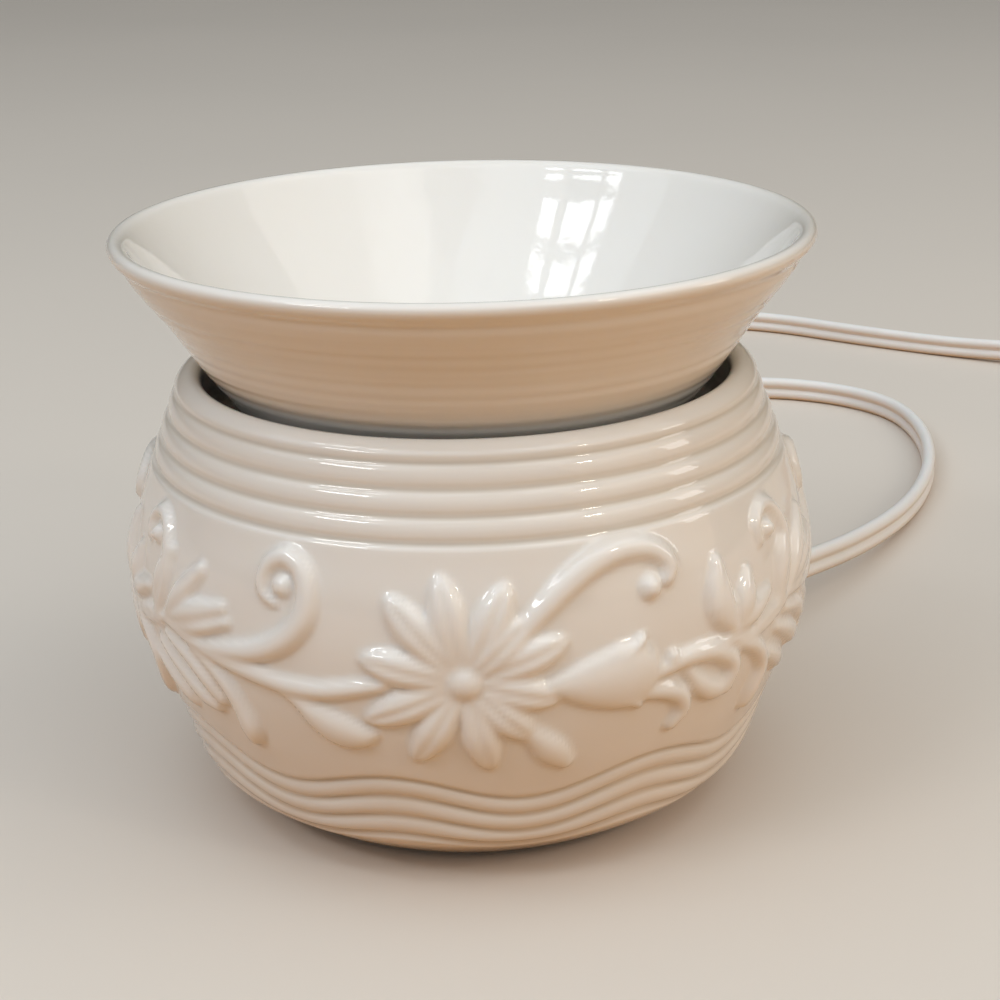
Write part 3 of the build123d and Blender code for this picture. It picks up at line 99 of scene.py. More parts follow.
camera_data = bpy.data.cameras.new("camera")
camera_data.sensor_fit = "HORIZONTAL"
camera_data.sensor_width = SENSOR_MM
camera_data.lens = SENSOR_MM * FOCAL_PIXELS / PICTURE_PIXELS
camera_data.clip_start = NEAREST_SEEN
camera = bpy.data.objects.new("camera", camera_data)
camera.matrix_world = camera_matrix()
bpy.context.scene.collection.objects.link(camera)
bpy.context.scene.camera = camera
bpy.context.scene.view_settings.view_transform = "Standard"
print(f"lens {camera_data.lens:.1f} mm")

# %% [markdown]
# Small helpers save a lot of typing later. `Field` wraps the output of a node, so that a rule can be written
# as ordinary arithmetic and still ends up as nodes, in a material or in a geometry tree alike.


# %% Helpers for node trees
MIX_FIRST = 6
MIX_SECOND = 7
MIX_RESULT = 2


class Field:
    """The output of a node, with arithmetic that adds further nodes."""

    def __init__(self, tree, socket):
        self.tree = tree
        self.socket = socket

    def combine(self, operation, *others):
        node = self.tree.nodes.new("ShaderNodeMath")
        node.operation = operation
        for socket, value in zip(node.inputs, (self,) + others):
            connect(self.tree, value, socket)
        return Field(self.tree, node.outputs[0])

    def __add__(self, other):
        return self.combine("ADD", other)

    def __sub__(self, other):
        return self.combine("SUBTRACT", other)

    def __mul__(self, other):
        return self.combine("MULTIPLY", other)

    def __truediv__(self, other):
        return self.combine("DIVIDE", other)

    def __pow__(self, other):
        return self.combine("POWER", other)


def connect(tree, value, socket):
    """Feed a socket from a field, from another socket or with a plain value."""
    if isinstance(value, Field):
        tree.links.new(value.socket, socket)
    elif isinstance(value, bpy.types.NodeSocket):
        tree.links.new(value, socket)
    else:
        socket.default_value = value


def add_node(tree, kind, settings=(), **inputs):
    """A new node with its settings and, by socket name, its inputs."""
    node = tree.nodes.new(kind)
    for name, value in dict(settings).items():
        setattr(node, name, value)
    for name, value in inputs.items():
        connect(tree, value, node.inputs[name.replace("_", " ")])
    return node


def new_tree(name, kind, inputs, outputs):
    """A node group with named inputs and outputs, and its input node's sockets as fields."""
    tree = bpy.data.node_groups.new(name, kind)
    for label, socket_type, value in inputs:
        socket = tree.interface.new_socket(label, in_out="INPUT", socket_type="NodeSocket" + socket_type)
        if value is not None:
            socket.default_value = value
    for label, socket_type in outputs:
        tree.interface.new_socket(label, in_out="OUTPUT", socket_type="NodeSocket" + socket_type)
    entry = tree.nodes.new("NodeGroupInput")
    fields = {label: Field(tree, entry.outputs[label]) for label, _, _ in inputs}
    return tree, fields


def mixed(tree, factor, first, second):
    """A colour between two others. A mix node has sockets for each kind of value, so these go by number."""
    node = add_node(tree, "ShaderNodeMix", {"data_type": "RGBA"})
    connect(tree, factor, node.inputs["Factor"])
    connect(tree, first, node.inputs[MIX_FIRST])
    connect(tree, second, node.inputs[MIX_SECOND])
    return node.outputs[MIX_RESULT]


def smooth_step(tree, value, low, high):
    """Rises softly from 0 to 1 while a value goes from low to high. Low may be the larger of the two."""
    node = add_node(tree, "ShaderNodeMapRange", {"interpolation_type": "SMOOTHSTEP"}, Value=value,
                    From_Min=low, From_Max=high)
    return Field(tree, node.outputs[0])


def give(tree, **results):
    """Feed the outputs of a node group, by name."""
    leave = tree.nodes.new("NodeGroupOutput")
    for label, value in results.items():
        connect(tree, value, leave.inputs[label])


# %% Helpers for meshes
def mesh_object(name, vertices, faces, material=None, smooth=True):
    """A mesh object at the origin, from plain lists."""
    mesh = bpy.data.meshes.new(name)
    mesh.from_pydata(vertices, [], faces)
    if material is not None:
        mesh.materials.append(material)
    mesh.polygons.foreach_set("use_smooth", [smooth] * len(mesh.polygons))
    thing = bpy.data.objects.new(name, mesh)
    bpy.context.scene.collection.objects.link(thing)
    return thing


SAME_PLACE = 0.001


def face_outwards(thing):
    """Merge doubled points, drop edges that carry no face and turn every face outwards."""
    sculpt = bmesh.new()
    sculpt.from_mesh(thing.data)
    bmesh.ops.remove_doubles(sculpt, verts=sculpt.verts, dist=SAME_PLACE * MM)
    bare_edges = [edge for edge in sculpt.edges if not edge.link_faces]
    bmesh.ops.delete(sculpt, geom=bare_edges, context="EDGES")
    bmesh.ops.recalc_face_normals(sculpt, faces=sculpt.faces)
    sculpt.to_mesh(thing.data)
    sculpt.free()


def through_tree(thing, tree, values):
    """Run an object through a geometry tree and keep the result as a plain mesh."""
    modifier = thing.modifiers.new("shape", "NODES")
    modifier.node_group = tree
    for item in tree.interface.items_tree:
        if item.item_type == "SOCKET" and item.in_out == "INPUT" and item.name in values:
            modifier[item.identifier] = values[item.name]
    depsgraph = bpy.context.evaluated_depsgraph_get()
    result = bpy.data.meshes.new_from_object(thing.evaluated_get(depsgraph), depsgraph=depsgraph)
    thing.modifiers.remove(modifier)
    return result


# %% [markdown]
# A flat cord lies on its edge here, as it does in most rooms: two round cores, one above the other. Its
# route is a smooth curve near a few given points. It leaves the strain relief, drops to the table,
# loops round behind the base and runs out to its switch. The rest is wound up, tied, and ends in the plug.

# %% The cord's route
CORD_WIDTH = 7.1
CORD_THICKNESS = 3.6
EXIT_ANGLE = 43.0
EXIT_REACH = 88.01
EXIT_HEIGHT = 10.5
EXIT_STRAIGHT = 18.0
SWITCH_LENGTH = 62.0
COIL_GAP_RUNS = (15.0, 31.0, 46.0)
COIL_HEIGHT = 4.45
COIL_OUTER_RADIUS = 44.5
COIL_PITCH = 4.4
COIL_LAYER_RISE = 7.8
COIL_TURNS = 4.25
COIL_CROSSING_TURNS = 0.5
COIL_POINTS_PER_TURN = 24
TAIL_LENGTH = 40.0
LEAD_POINTS = [
    (98.0, 95.5, 7.4), (118.5, 127.5, 4.3), (132.5, 161.5, 3.55), (138.5, 197.0, 3.55), (134.0, 229.0, 3.55),
    (108.0, 249.5, 3.55), (74.0, 251.5, 3.55), (45.0, 264.0, 3.55), (29.5, 289.0, 3.55),
    (33.5, 317.0, 3.55), (51.0, 338.5, 3.55), (78.0, 345.5, 3.55), (112.0, 336.0, 3.55),
    (141.0, 313.0, 3.55), (171.0, 293.0, 3.55), (197.0, 278.0, 5.15), (217.0, 267.0, 5.15),
]


def round_about(radius, degrees, height):
    """A point on a circle about the middle axis, in millimetres."""
    turn = math.radians(degrees)
    return Vector((radius * math.cos(turn), radius * math.sin(turn), height))


switch_start = Vector(LEAD_POINTS[-1])
cord_ahead = (switch_start - Vector(LEAD_POINTS[-2])).normalized()
cord_left = Vector((-cord_ahead.y, cord_ahead.x, 0.0))


def beyond_switch(run, height):
    """A point on the cord's line past the switch."""
    place = switch_start + cord_ahead * (SWITCH_LENGTH + run)
    return Vector((place.x, place.y, height))


coil_entry = beyond_switch(COIL_GAP_RUNS[-1] + CORD_WIDTH, COIL_HEIGHT)
coil_middle = coil_entry - cord_left * COIL_OUTER_RADIUS


def coil_point(turn):
    """The wound length: in at a steady rate below, then out again above."""
    radius = COIL_OUTER_RADIUS - COIL_PITCH * min(turn, COIL_TURNS - turn)
    crossing = (turn - COIL_TURNS / 2 + COIL_CROSSING_TURNS / 2) / COIL_CROSSING_TURNS
    climb = min(max(crossing, 0.0), 1.0)
    height = COIL_LAYER_RISE * (1 - math.cos(math.pi * climb)) / 2
    angle = math.atan2(cord_left.y, cord_left.x) - 2 * math.pi * turn
    return coil_middle + Vector((radius * math.cos(angle), radius * math.sin(angle), height))


coil_exit = coil_point(COIL_TURNS)
exit_turn = math.atan2(cord_left.y, cord_left.x) - 2 * math.pi * COIL_TURNS - math.pi / 2
tail_ahead = Vector((math.cos(exit_turn), math.sin(exit_turn), 0.0))
tail_end = coil_exit + tail_ahead * (CORD_WIDTH + TAIL_LENGTH)
cord_exit = round_about(EXIT_REACH, EXIT_ANGLE, EXIT_HEIGHT)

route = [cord_exit, round_about(EXIT_REACH + EXIT_STRAIGHT, EXIT_ANGLE, EXIT_HEIGHT)]
route += [Vector(point) for point in LEAD_POINTS]
route += [switch_start + cord_ahead * SWITCH_LENGTH, beyond_switch(COIL_GAP_RUNS[0], switch_start.z)]
route += [beyond_switch(COIL_GAP_RUNS[1], COIL_HEIGHT), beyond_switch(COIL_GAP_RUNS[2], COIL_HEIGHT)]
steps = round(COIL_TURNS * COIL_POINTS_PER_TURN)
route += [coil_point(COIL_TURNS * step / steps) for step in range(steps + 1)]
route += [coil_exit + tail_ahead * CORD_WIDTH, tail_end]
print("route points:", len(route))


# %% The route as one smooth curve
ROUTE_DIVISIONS = 8
ROUTE_ORDER = 3


def smooth_route(name, points):
    """A curve of one open spline with the points, in millimetres, as its control points."""
    curve = bpy.data.curves.new(name, "CURVE")
    curve.dimensions = "3D"
    curve.resolution_u = ROUTE_DIVISIONS
    spline = curve.splines.new("NURBS")
    spline.points.add(len(points) - 1)
    for place, point in zip(points, spline.points):
        point.co = (place.x * MM, place.y * MM, place.z * MM, 1.0)
    spline.order_u = ROUTE_ORDER
    spline.use_endpoint_u = True
    thing = bpy.data.objects.new(name, curve)
    bpy.context.scene.collection.objects.link(thing)
    return thing


def points_along(curve_object):
    """The points that Blender gives for a curve with no thickness."""
    depsgraph = bpy.context.evaluated_depsgraph_get()
    line = bpy.data.meshes.new_from_object(curve_object.evaluated_get(depsgraph), depsgraph=depsgraph)
    points = [vertex.co.copy() for vertex in line.vertices]
    bpy.data.meshes.remove(line)
    return points


def length_of(points):
    """The length of a line of points."""
    return sum((second - first).length for first, second in zip(points, points[1:]))


route_curve = smooth_route("cord_route", route)
cord_path = points_along(route_curve)
bpy.data.objects.remove(route_curve)
print(f"cord path: {len(cord_path)} points, {length_of(cord_path):.3f} m")

# %% [markdown]
# The section is drawn once, as two lobes that meet in a shallow valley, and carried along the path. A round
# tube would not need this. Here the section has to stay upright, so each ring takes its own upward direction
# from the world instead of from the curve.

# %% The cord's surface
LOBE_RADIUS = CORD_THICKNESS / 2
LOBE_OFFSET = CORD_WIDTH / 2 - LOBE_RADIUS
VALLEY_HALF_WIDTH = 0.9
LOBE_POINTS = 11


def flat_cord_section():
    """Points round the section, in millimetres: sideways and upward."""
    start = math.asin(math.sqrt(1 - (VALLEY_HALF_WIDTH / LOBE_RADIUS) ** 2))
    sweep = math.pi + 2 * start
    section = []
    for sign in (1, -1):
        for index in range(LOBE_POINTS):
            angle = -start + sweep * index / (LOBE_POINTS - 1)
            across = sign * LOBE_RADIUS * math.cos(angle)
            section.append((across, sign * (LOBE_OFFSET + LOBE_RADIUS * math.sin(angle))))
    return section


def swept(name, path, section, material):
    """Carry an upright section along a path, and close both ends."""
    vertices = []
    count = len(section)
    for index, place in enumerate(path):
        ahead = (path[min(index + 1, len(path) - 1)] - path[max(index - 1, 0)]).normalized()
        side = ahead.cross(Vector((0, 0, 1))).normalized()
        up = side.cross(ahead)
        vertices += [place + (side * x + up * y) * MM for x, y in section]
    faces = []
    for ring in range(len(path) - 1):
        for index in range(count):
            following = (index + 1) % count
            low, high = ring * count, (ring + 1) * count
            faces.append((low + index, low + following, high + following, high + index))
    faces.append(tuple(range(count)))
    faces.append(tuple((len(path) - 1) * count + index for index in reversed(range(count))))
    thing = mesh_object(name, vertices, faces, material)
    face_outwards(thing)
    return thing


# %% [markdown]
# Nothing real is one flat colour. Glaze pools and thins, plating clouds, rubber picks up dust. Two shader
# groups give that to every material here: one drifts between two close tones, the other raises a fine grain.
# Built once and placed many times, they keep the finishes related, and one change reaches them all.

# %% Shared shader groups
CLOUD_LOW = 0.35
CLOUD_HIGH = 0.65
CLOUD_DETAIL = 4.0
GRAIN_DETAIL = 2.0


def cloudy_tone_group():
    """Drifts between two tones over the surface, and gives the drift as a mask."""
    tree, given = new_tree("cloudy_tone", "ShaderNodeTree",
                           [("Tone", "Color", None), ("Second Tone", "Color", None), ("Scale", "Float", 40.0),
                            ("Stretch", "Vector", (1.0, 1.0, 1.0))],
                           [("Color", "Color"), ("Mask", "Float")])
    place = add_node(tree, "ShaderNodeTexCoord").outputs["Object"]
    stretched = add_node(tree, "ShaderNodeMapping", Vector=place, Scale=given["Stretch"]).outputs[0]
    cloud = add_node(tree, "ShaderNodeTexNoise", Vector=stretched, Scale=given["Scale"], Detail=CLOUD_DETAIL)
    spread = add_node(tree, "ShaderNodeMapRange", Value=cloud.outputs[0], From_Min=CLOUD_LOW,
                      From_Max=CLOUD_HIGH)
    tone = mixed(tree, spread.outputs[0], given["Tone"], given["Second Tone"])
    give(tree, Color=tone, Mask=spread.outputs[0])
    return tree


def fine_grain_group():
    """Raises a fine grain as a normal, with the height in metres."""
    tree, given = new_tree("fine_grain", "ShaderNodeTree",
                           [("Scale", "Float", 900.0), ("Depth", "Float", 0.00002),
                            ("Stretch", "Vector", (1.0, 1.0, 1.0))],
                           [("Normal", "Vector"), ("Grain", "Float")])
    place = add_node(tree, "ShaderNodeTexCoord").outputs["Object"]
    stretched = add_node(tree, "ShaderNodeMapping", Vector=place, Scale=given["Stretch"]).outputs[0]
    noise = add_node(tree, "ShaderNodeTexNoise", Vector=stretched, Scale=given["Scale"], Detail=GRAIN_DETAIL)
    bump = add_node(tree, "ShaderNodeBump", Height=noise.outputs[0], Distance=given["Depth"])
    give(tree, Normal=bump.outputs[0], Grain=noise.outputs[0])
    return tree


CLOUDY_TONE = cloudy_tone_group()
FINE_GRAIN = fine_grain_group()
print("shader groups:", CLOUDY_TONE.name, FINE_GRAIN.name)


# %% A finish made from the two groups
def place_group(tree, group, **inputs):
    """Place a node group in a material and set its inputs."""
    node = tree.nodes.new("ShaderNodeGroup")
    node.node_tree = group
    for name, value in inputs.items():
        connect(tree, value, node.inputs[name.replace("_", " ")])
    return node


def finish(name, tone, second_tone, cloud_scale, roughness, grain_scale, grain_depth,
           stretch=(1.0, 1.0, 1.0), **shader_values):
    """A material with drifting tone, drifting roughness and a fine grain."""
    material = bpy.data.materials.new(name)
    material.use_nodes = True
    tree = material.node_tree
    shader = tree.nodes["Principled BSDF"]
    cloud = place_group(tree, CLOUDY_TONE, Tone=(*tone, 1.0), Second_Tone=(*second_tone, 1.0),
                        Scale=cloud_scale, Stretch=stretch)
    grain = place_group(tree, FINE_GRAIN, Scale=grain_scale, Depth=grain_depth * MM, Stretch=stretch)
    rough = add_node(tree, "ShaderNodeMapRange", Value=cloud.outputs["Mask"],
                     To_Min=roughness[0], To_Max=roughness[1])
    connect(tree, cloud.outputs["Color"], shader.inputs["Base Color"])
    connect(tree, rough.outputs[0], shader.inputs["Roughness"])
    connect(tree, grain.outputs["Normal"], shader.inputs["Normal"])
    for label, value in shader_values.items():
        shader.inputs[label.replace("_", " ")].default_value = value
    return material


# %% [markdown]
# The glaze is the finish that everyone sees. It is an ivory glass over a pale body: it runs off the raised
# petals and gathers in the hollows, where it looks warmer. The shaped pieces store how far each point stands
# proud in an attribute named `raised`, so the glaze can read it.

# %% Glaze
GLAZE_TONE = (0.835, 0.818, 0.785)
GLAZE_SECOND_TONE = (0.825, 0.802, 0.762)
GLAZE_POOLED_TONE = (0.700, 0.645, 0.560)
GLAZE_THIN_TONE = (0.860, 0.850, 0.825)
GLAZE_ROUGHNESS = (0.04, 0.08)
GLAZE_CLOUD_SCALE = 22.0
GLAZE_GRAIN_SCALE = 260.0
GLAZE_GRAIN_DEPTH = 0.03
GLAZE_COAT = 0.35
GLAZE_COAT_ROUGHNESS = 0.03
GLAZE_DEPTH_SHARE = 0.06
GLAZE_DEPTH = (0.004, 0.003, 0.002)
RAISED_LOW = -0.9
RAISED_START = 0.3
RAISED_HIGH = 1.6


def glaze_finish(name):
    """Glossy ivory glaze, warmer where it has pooled and paler where it has run thin."""
    material = finish(name, GLAZE_TONE, GLAZE_SECOND_TONE, GLAZE_CLOUD_SCALE, GLAZE_ROUGHNESS,
                      GLAZE_GRAIN_SCALE, GLAZE_GRAIN_DEPTH, Coat_Weight=GLAZE_COAT,
                      Coat_Roughness=GLAZE_COAT_ROUGHNESS, Subsurface_Weight=GLAZE_DEPTH_SHARE,
                      Subsurface_Radius=GLAZE_DEPTH, Subsurface_Scale=1.0)
    tree = material.node_tree
    shader = tree.nodes["Principled BSDF"]
    clouded = shader.inputs["Base Color"].links[0].from_socket
    raised = add_node(tree, "ShaderNodeAttribute", {"attribute_name": "raised"}).outputs["Fac"]
    pooled = add_node(tree, "ShaderNodeMapRange", Value=raised, From_Min=0.0, From_Max=RAISED_LOW)
    thin = add_node(tree, "ShaderNodeMapRange", Value=raised, From_Min=RAISED_START, From_Max=RAISED_HIGH)
    warmed = mixed(tree, pooled.outputs[0], clouded, (*GLAZE_POOLED_TONE, 1.0))
    paled = mixed(tree, thin.outputs[0], warmed, (*GLAZE_THIN_TONE, 1.0))
    connect(tree, paled, shader.inputs["Base Color"])
    return material


GLAZE = glaze_finish("ivory_glaze")
print("finish:", GLAZE.name)

# %% [markdown]
# Base and dish are both turned round one upright axis, so one geometry tree can make either. It takes half of
# the cut-through wall as a ring of given points, smooths it, and carries it round. The rule that forms
# ribs lives in a group of its own: rounded ribs with narrow grooves between, in straight rings or in waves.


# %% Ribbed band
WAVE_SHARE_BELOW = 0.65


def ribbed_band_group():
    """The height of a band of ribs at a place on the wall, in millimetres."""
    tree, given = new_tree("ribbed_band", "GeometryNodeTree",
                           [("Run", "Float", 0.0), ("Turn", "Float", 0.0), ("Start", "Float", 0.0),
                            ("End", "Float", 10.0), ("Pitch", "Float", 4.0), ("Depth", "Float", 1.0),
                            ("Roundness", "Float", 0.5), ("Waves", "Float", 0.0), ("Wave Turn", "Float", 0.0),
                            ("Wave Height", "Float", 0.0), ("Fade", "Float", 1.2)],
                           [("Height", "Float")])
    wave = ((given["Turn"] - given["Wave Turn"]) * given["Waves"]).combine("COSINE")
    share = add_node(tree, "ShaderNodeMapRange", Value=given["Run"], From_Min=given["Start"],
                     From_Max=given["End"], To_Min=WAVE_SHARE_BELOW, To_Max=1.0)
    lifted = given["Run"] - wave * given["Wave Height"] * Field(tree, share.outputs[0])
    phase = (lifted - given["End"]) / given["Pitch"] * math.pi
    rib = phase.combine("SINE").combine("ABSOLUTE") ** given["Roundness"] - 1.0
    rise = smooth_step(tree, lifted, given["Start"] - given["Fade"], given["Start"])
    fall = smooth_step(tree, lifted, given["End"] + given["Fade"], given["End"])
    give(tree, Height=rib * given["Depth"] * rise * fall)
    return tree


RIBBED_BAND = ribbed_band_group()
BAND_INPUTS = ["Start", "End", "Pitch", "Depth", "Roundness", "Waves", "Wave Turn", "Wave Height"]
print("group:", RIBBED_BAND.name)


# %% Turned wall
OUTLINE_DIVISIONS = 16
FOLLOW_RISE = (13.0, 1.0)
FOLLOW_FALL = (22.0, 1.5)
SEAM_REACH = 0.005


def turned_wall_tree():
    """Carries a closed ring of points round the upright axis, with two bands of ribs.

    The rows of points rise and fall with the lower band's waves, so that a wavy groove runs along a row.
    """
    inputs = [("Geometry", "Geometry", None), ("Around", "Int", 96), ("Fine Rows", "Int", 60),
              ("Coarse Rows", "Int", 20), ("Fine Length", "Float", 100.0), ("Finish", "Material", None)]
    for band in ("Upper", "Lower"):
        inputs += [(f"{band} {label}", "Float", 1.0) for label in BAND_INPUTS]
    tree, given = new_tree("turned_wall", "GeometryNodeTree", inputs, [("Geometry", "Geometry")])
    line = add_node(tree, "GeometryNodeMeshToCurve", Mesh=given["Geometry"]).outputs[0]
    soft = add_node(tree, "GeometryNodeCurveSplineType", {"spline_type": "CATMULL_ROM"},
                    Curve=line).outputs[0]
    soft = add_node(tree, "GeometryNodeSetSplineResolution", Geometry=soft,
                    Resolution=OUTLINE_DIVISIONS).outputs[0]

    rows = given["Fine Rows"] + given["Coarse Rows"]
    grid = add_node(tree, "GeometryNodeMeshGrid", Size_X=1.0, Size_Y=1.0,
                    Vertices_X=given["Around"] + 1.0, Vertices_Y=rows + 1.0)
    index = Field(tree, add_node(tree, "GeometryNodeInputIndex").outputs[0])
    column = (index / (rows + 1.0)).combine("FLOOR")
    row = index - column * (rows + 1.0)
    total = Field(tree, add_node(tree, "GeometryNodeCurveLength", Curve=soft).outputs[0]) / MM
    share = row.combine("MINIMUM", given["Fine Rows"]) / given["Fine Rows"]
    coarse_step = (total - given["Fine Length"]) / given["Coarse Rows"]
    level_run = (share * given["Fine Length"]
                 + (row - given["Fine Rows"]).combine("MAXIMUM", 0.0) * coarse_step)
    turn = column / given["Around"] * math.tau
    wave = ((turn - given["Lower Wave Turn"]) * given["Lower Waves"]).combine("COSINE")
    reach = add_node(tree, "ShaderNodeMapRange", Value=level_run, From_Min=given["Lower Start"],
                     From_Max=given["Lower End"], To_Min=WAVE_SHARE_BELOW, To_Max=1.0)
    begin = smooth_step(tree, level_run, (given["Lower Start"] - FOLLOW_RISE[0]).combine("MAXIMUM", 0.0),
                        given["Lower Start"] - FOLLOW_RISE[1])
    cease = smooth_step(tree, level_run, given["Lower End"] + FOLLOW_FALL[0],
                        given["Lower End"] + FOLLOW_FALL[1])
    follow = wave * given["Lower Wave Height"] * Field(tree, reach.outputs[0])
    run = level_run + follow * begin * cease

    sample = add_node(tree, "GeometryNodeSampleCurve", {"mode": "LENGTH", "data_type": "FLOAT_VECTOR"})
    connect(tree, soft, sample.inputs["Curves"])
    connect(tree, run * MM, sample.inputs["Length"])
    parts = add_node(tree, "ShaderNodeSeparateXYZ", Vector=sample.outputs["Position"])
    slope = add_node(tree, "ShaderNodeSeparateXYZ", Vector=sample.outputs["Tangent"])
    height = None
    for band in ("Upper", "Lower"):
        node = tree.nodes.new("GeometryNodeGroup")
        node.node_tree = RIBBED_BAND
        connect(tree, run, node.inputs["Run"])
        connect(tree, turn, node.inputs["Turn"])
        for label in BAND_INPUTS:
            connect(tree, given[f"{band} {label}"], node.inputs[label])
        band_height = Field(tree, node.outputs[0])
        height = band_height if height is None else height + band_height
    radius = Field(tree, parts.outputs[0]) + Field(tree, slope.outputs[2]) * height * MM
    radius = radius.combine("MAXIMUM", 0.0)
    level = Field(tree, parts.outputs[2]) - Field(tree, slope.outputs[0]) * height * MM
    place = add_node(tree, "ShaderNodeCombineXYZ", X=radius * turn.combine("COSINE"),
                     Y=radius * turn.combine("SINE"), Z=level)
    wall = add_node(tree, "GeometryNodeSetPosition", Geometry=grid.outputs["Mesh"],
                    Position=place.outputs[0]).outputs[0]
    for label, value in (("run", run), ("turn", turn), ("raised", height)):
        wall = add_node(tree, "GeometryNodeStoreNamedAttribute", {"data_type": "FLOAT", "domain": "POINT"},
                        Geometry=wall, Name=label, Value=value).outputs[0]
    wall = add_node(tree, "GeometryNodeMergeByDistance", Geometry=wall,
                    Distance=SEAM_REACH * MM).outputs[0]
    wall = add_node(tree, "GeometryNodeSetShadeSmooth", Geometry=wall).outputs[0]
    wall = add_node(tree, "GeometryNodeRealizeInstances", Geometry=wall).outputs[0]
    wall = add_node(tree, "GeometryNodeSetMaterial", Geometry=wall, Material=given["Finish"]).outputs[0]
    give(tree, Geometry=wall)
    return tree


TURNED_WALL = turned_wall_tree()
print("tree:", TURNED_WALL.name)


def turned_piece(name, outline, bands, **sizes):
    """A closed wall turned round the middle axis from its outline in millimetres."""
    ring = [(radius * MM, 0.0, height * MM) for radius, height in outline]
    guide = bpy.data.objects.new(name + "_outline", bpy.data.meshes.new(name + "_outline"))
    edges = [(index, (index + 1) % len(ring)) for index in range(len(ring))]
    guide.data.from_pydata(ring, edges, [])
    bpy.context.scene.collection.objects.link(guide)
    values = {label.replace("_", " "): value for label, value in sizes.items()}
    for band, settings in bands.items():
        values.update({f"{band} {label}": float(value) for label, value in zip(BAND_INPUTS, settings)})
    mesh = through_tree(guide, TURNED_WALL, values)
    bpy.data.objects.remove(guide)
    thing = bpy.data.objects.new(name, mesh)
    mesh.name = name
    bpy.context.scene.collection.objects.link(thing)
    return thing

# %% [markdown]
# The base's wall is drawn as one ring of points: up the outside from the foot, over the rolled lip, down to
# the shelf that carries the heater, and back down the hollow. The outside comes first, because it needs many
# narrow rows for the flowers, while the hollow needs few. A band of ribs is a row of values in the order of
# its group's inputs: start and end along the outline, pitch, depth and so on.

# %% The base's wall
BASE_OUTLINE = [
    (42.57, 1.0), (50.2, 5.7), (55.4, 10.0), (57.6, 14.7), (59.6, 21.0), (62.6, 29.3), (65.2, 39.0),
    (66.0, 49.0), (64.8, 59.0), (62.4, 67.0), (60.0, 74.0), (57.3, 81.0), (56.4, 83.6), (55.0, 85.3),
    (53.3, 86.1), (51.8, 85.6), (51.1, 84.4), (51.4, 82.2), (52.8, 77.4), (55.4, 72.2), (54.9, 70.5),
    (50.2, 70.5), (45.6, 70.4), (45.5, 68.6), (46.4, 66.9), (52.0, 65.2), (57.8, 59.0), (59.7, 49.0),
    (60.0, 39.0), (57.1, 29.3), (54.1, 21.0), (51.7, 14.0), (48.0, 8.8), (43.0, 6.2), (38.0, 6.1),
    (34.1, 6.0), (34.2, 4.4), (36.6, 4.1), (37.5, 3.4), (37.6, 1.4), (38.2, 1.0), (40.2, 0.95),
]
BASE_BANDS = {
    "Upper": (78.34, 92.03, 4.563, 0.85, 0.55, 0, 0, 0),
    "Lower": (15.97, 29.66, 4.563, 1.05, 0.55, 8, math.radians(-104), 2.6),
}
BASE_AROUND = 608
BASE_OUTSIDE_ROWS = 142
BASE_HOLLOW_ROWS = 18
BASE_OUTSIDE_LENGTH = 108.0

base_skin = turned_piece("base_skin", BASE_OUTLINE, BASE_BANDS, Around=BASE_AROUND,
                         Fine_Rows=BASE_OUTSIDE_ROWS, Coarse_Rows=BASE_HOLLOW_ROWS,
                         Fine_Length=BASE_OUTSIDE_LENGTH, Finish=GLAZE)
print(f"base skin: {len(base_skin.data.vertices)} points, {len(base_skin.data.polygons)} faces")

# %% [markdown]
# The flowers were modelled in clay and pressed from a mould, so they are soft swellings that flow out of the
# wall. A height map suits that. Each stem, petal and leaf is a stroke with a domed section, given by a few
# places along its middle line: degrees round the base, millimetres up the wall, half width and height. Where
# strokes meet, the higher one wins. The set repeats three times round the base.

# %% Strokes of the flower pattern
STEMS = [
    [(-12, 53.6, 1.3, 1.1), (-16.5, 52.5, 1.7, 1.4), (-22, 51.2, 1.9, 1.5), (-28, 51.0, 2.0, 1.5),
     (-34, 51.8, 2.0, 1.5), (-41, 52.8, 1.9, 1.4), (-50, 54.2, 1.6, 1.2), (-58, 55, 1.3, 1.0),
     (-68, 53, 1.2, 1.0)],
    [(29, 52, 1.3, 1.1), (38, 53.5, 1.4, 1.2), (46, 53, 1.4, 1.2), (54, 52, 1.3, 1.1), (62, 54, 1.2, 1.0)],
]
SCROLLS = [
    [(-47, 53.6, 1.4, 1.1), (-40, 54.6, 1.9, 1.5), (-33.5, 56.3, 2.2, 1.8), (-28.5, 59.3, 2.4, 1.9),
     (-25.2, 63.5, 2.4, 1.9), (-24.3, 68, 2.2, 1.8), (-25.6, 72.2, 2.1, 1.8), (-28.7, 74.1, 2.0, 1.8),
     (-31.6, 72.4, 1.7, 1.6), (-32.7, 69.4, 1.4, 1.4), (-32.0, 66.9, 1.1, 1.2), (-30.0, 65.6, 0.8, 1.0)],
    [(7, 60, 1.2, 1.0), (11.5, 66.0, 2.0, 1.5), (16.5, 70.9, 2.4, 1.8), (21.5, 73.9, 2.5, 1.9),
     (26.5, 74.8, 2.3, 1.9), (31, 73.8, 2.1, 1.8), (33.6, 71.0, 1.9, 1.7), (33.0, 68.2, 1.4, 1.4)],
    [(60, 54, 1.3, 1.0), (63, 60, 1.5, 1.3), (64, 66, 1.6, 1.5), (62, 72, 1.6, 1.5), (58.5, 74, 1.5, 1.4),
     (55.2, 71.5, 1.3, 1.3), (55.5, 68, 1.0, 1.0)],
]
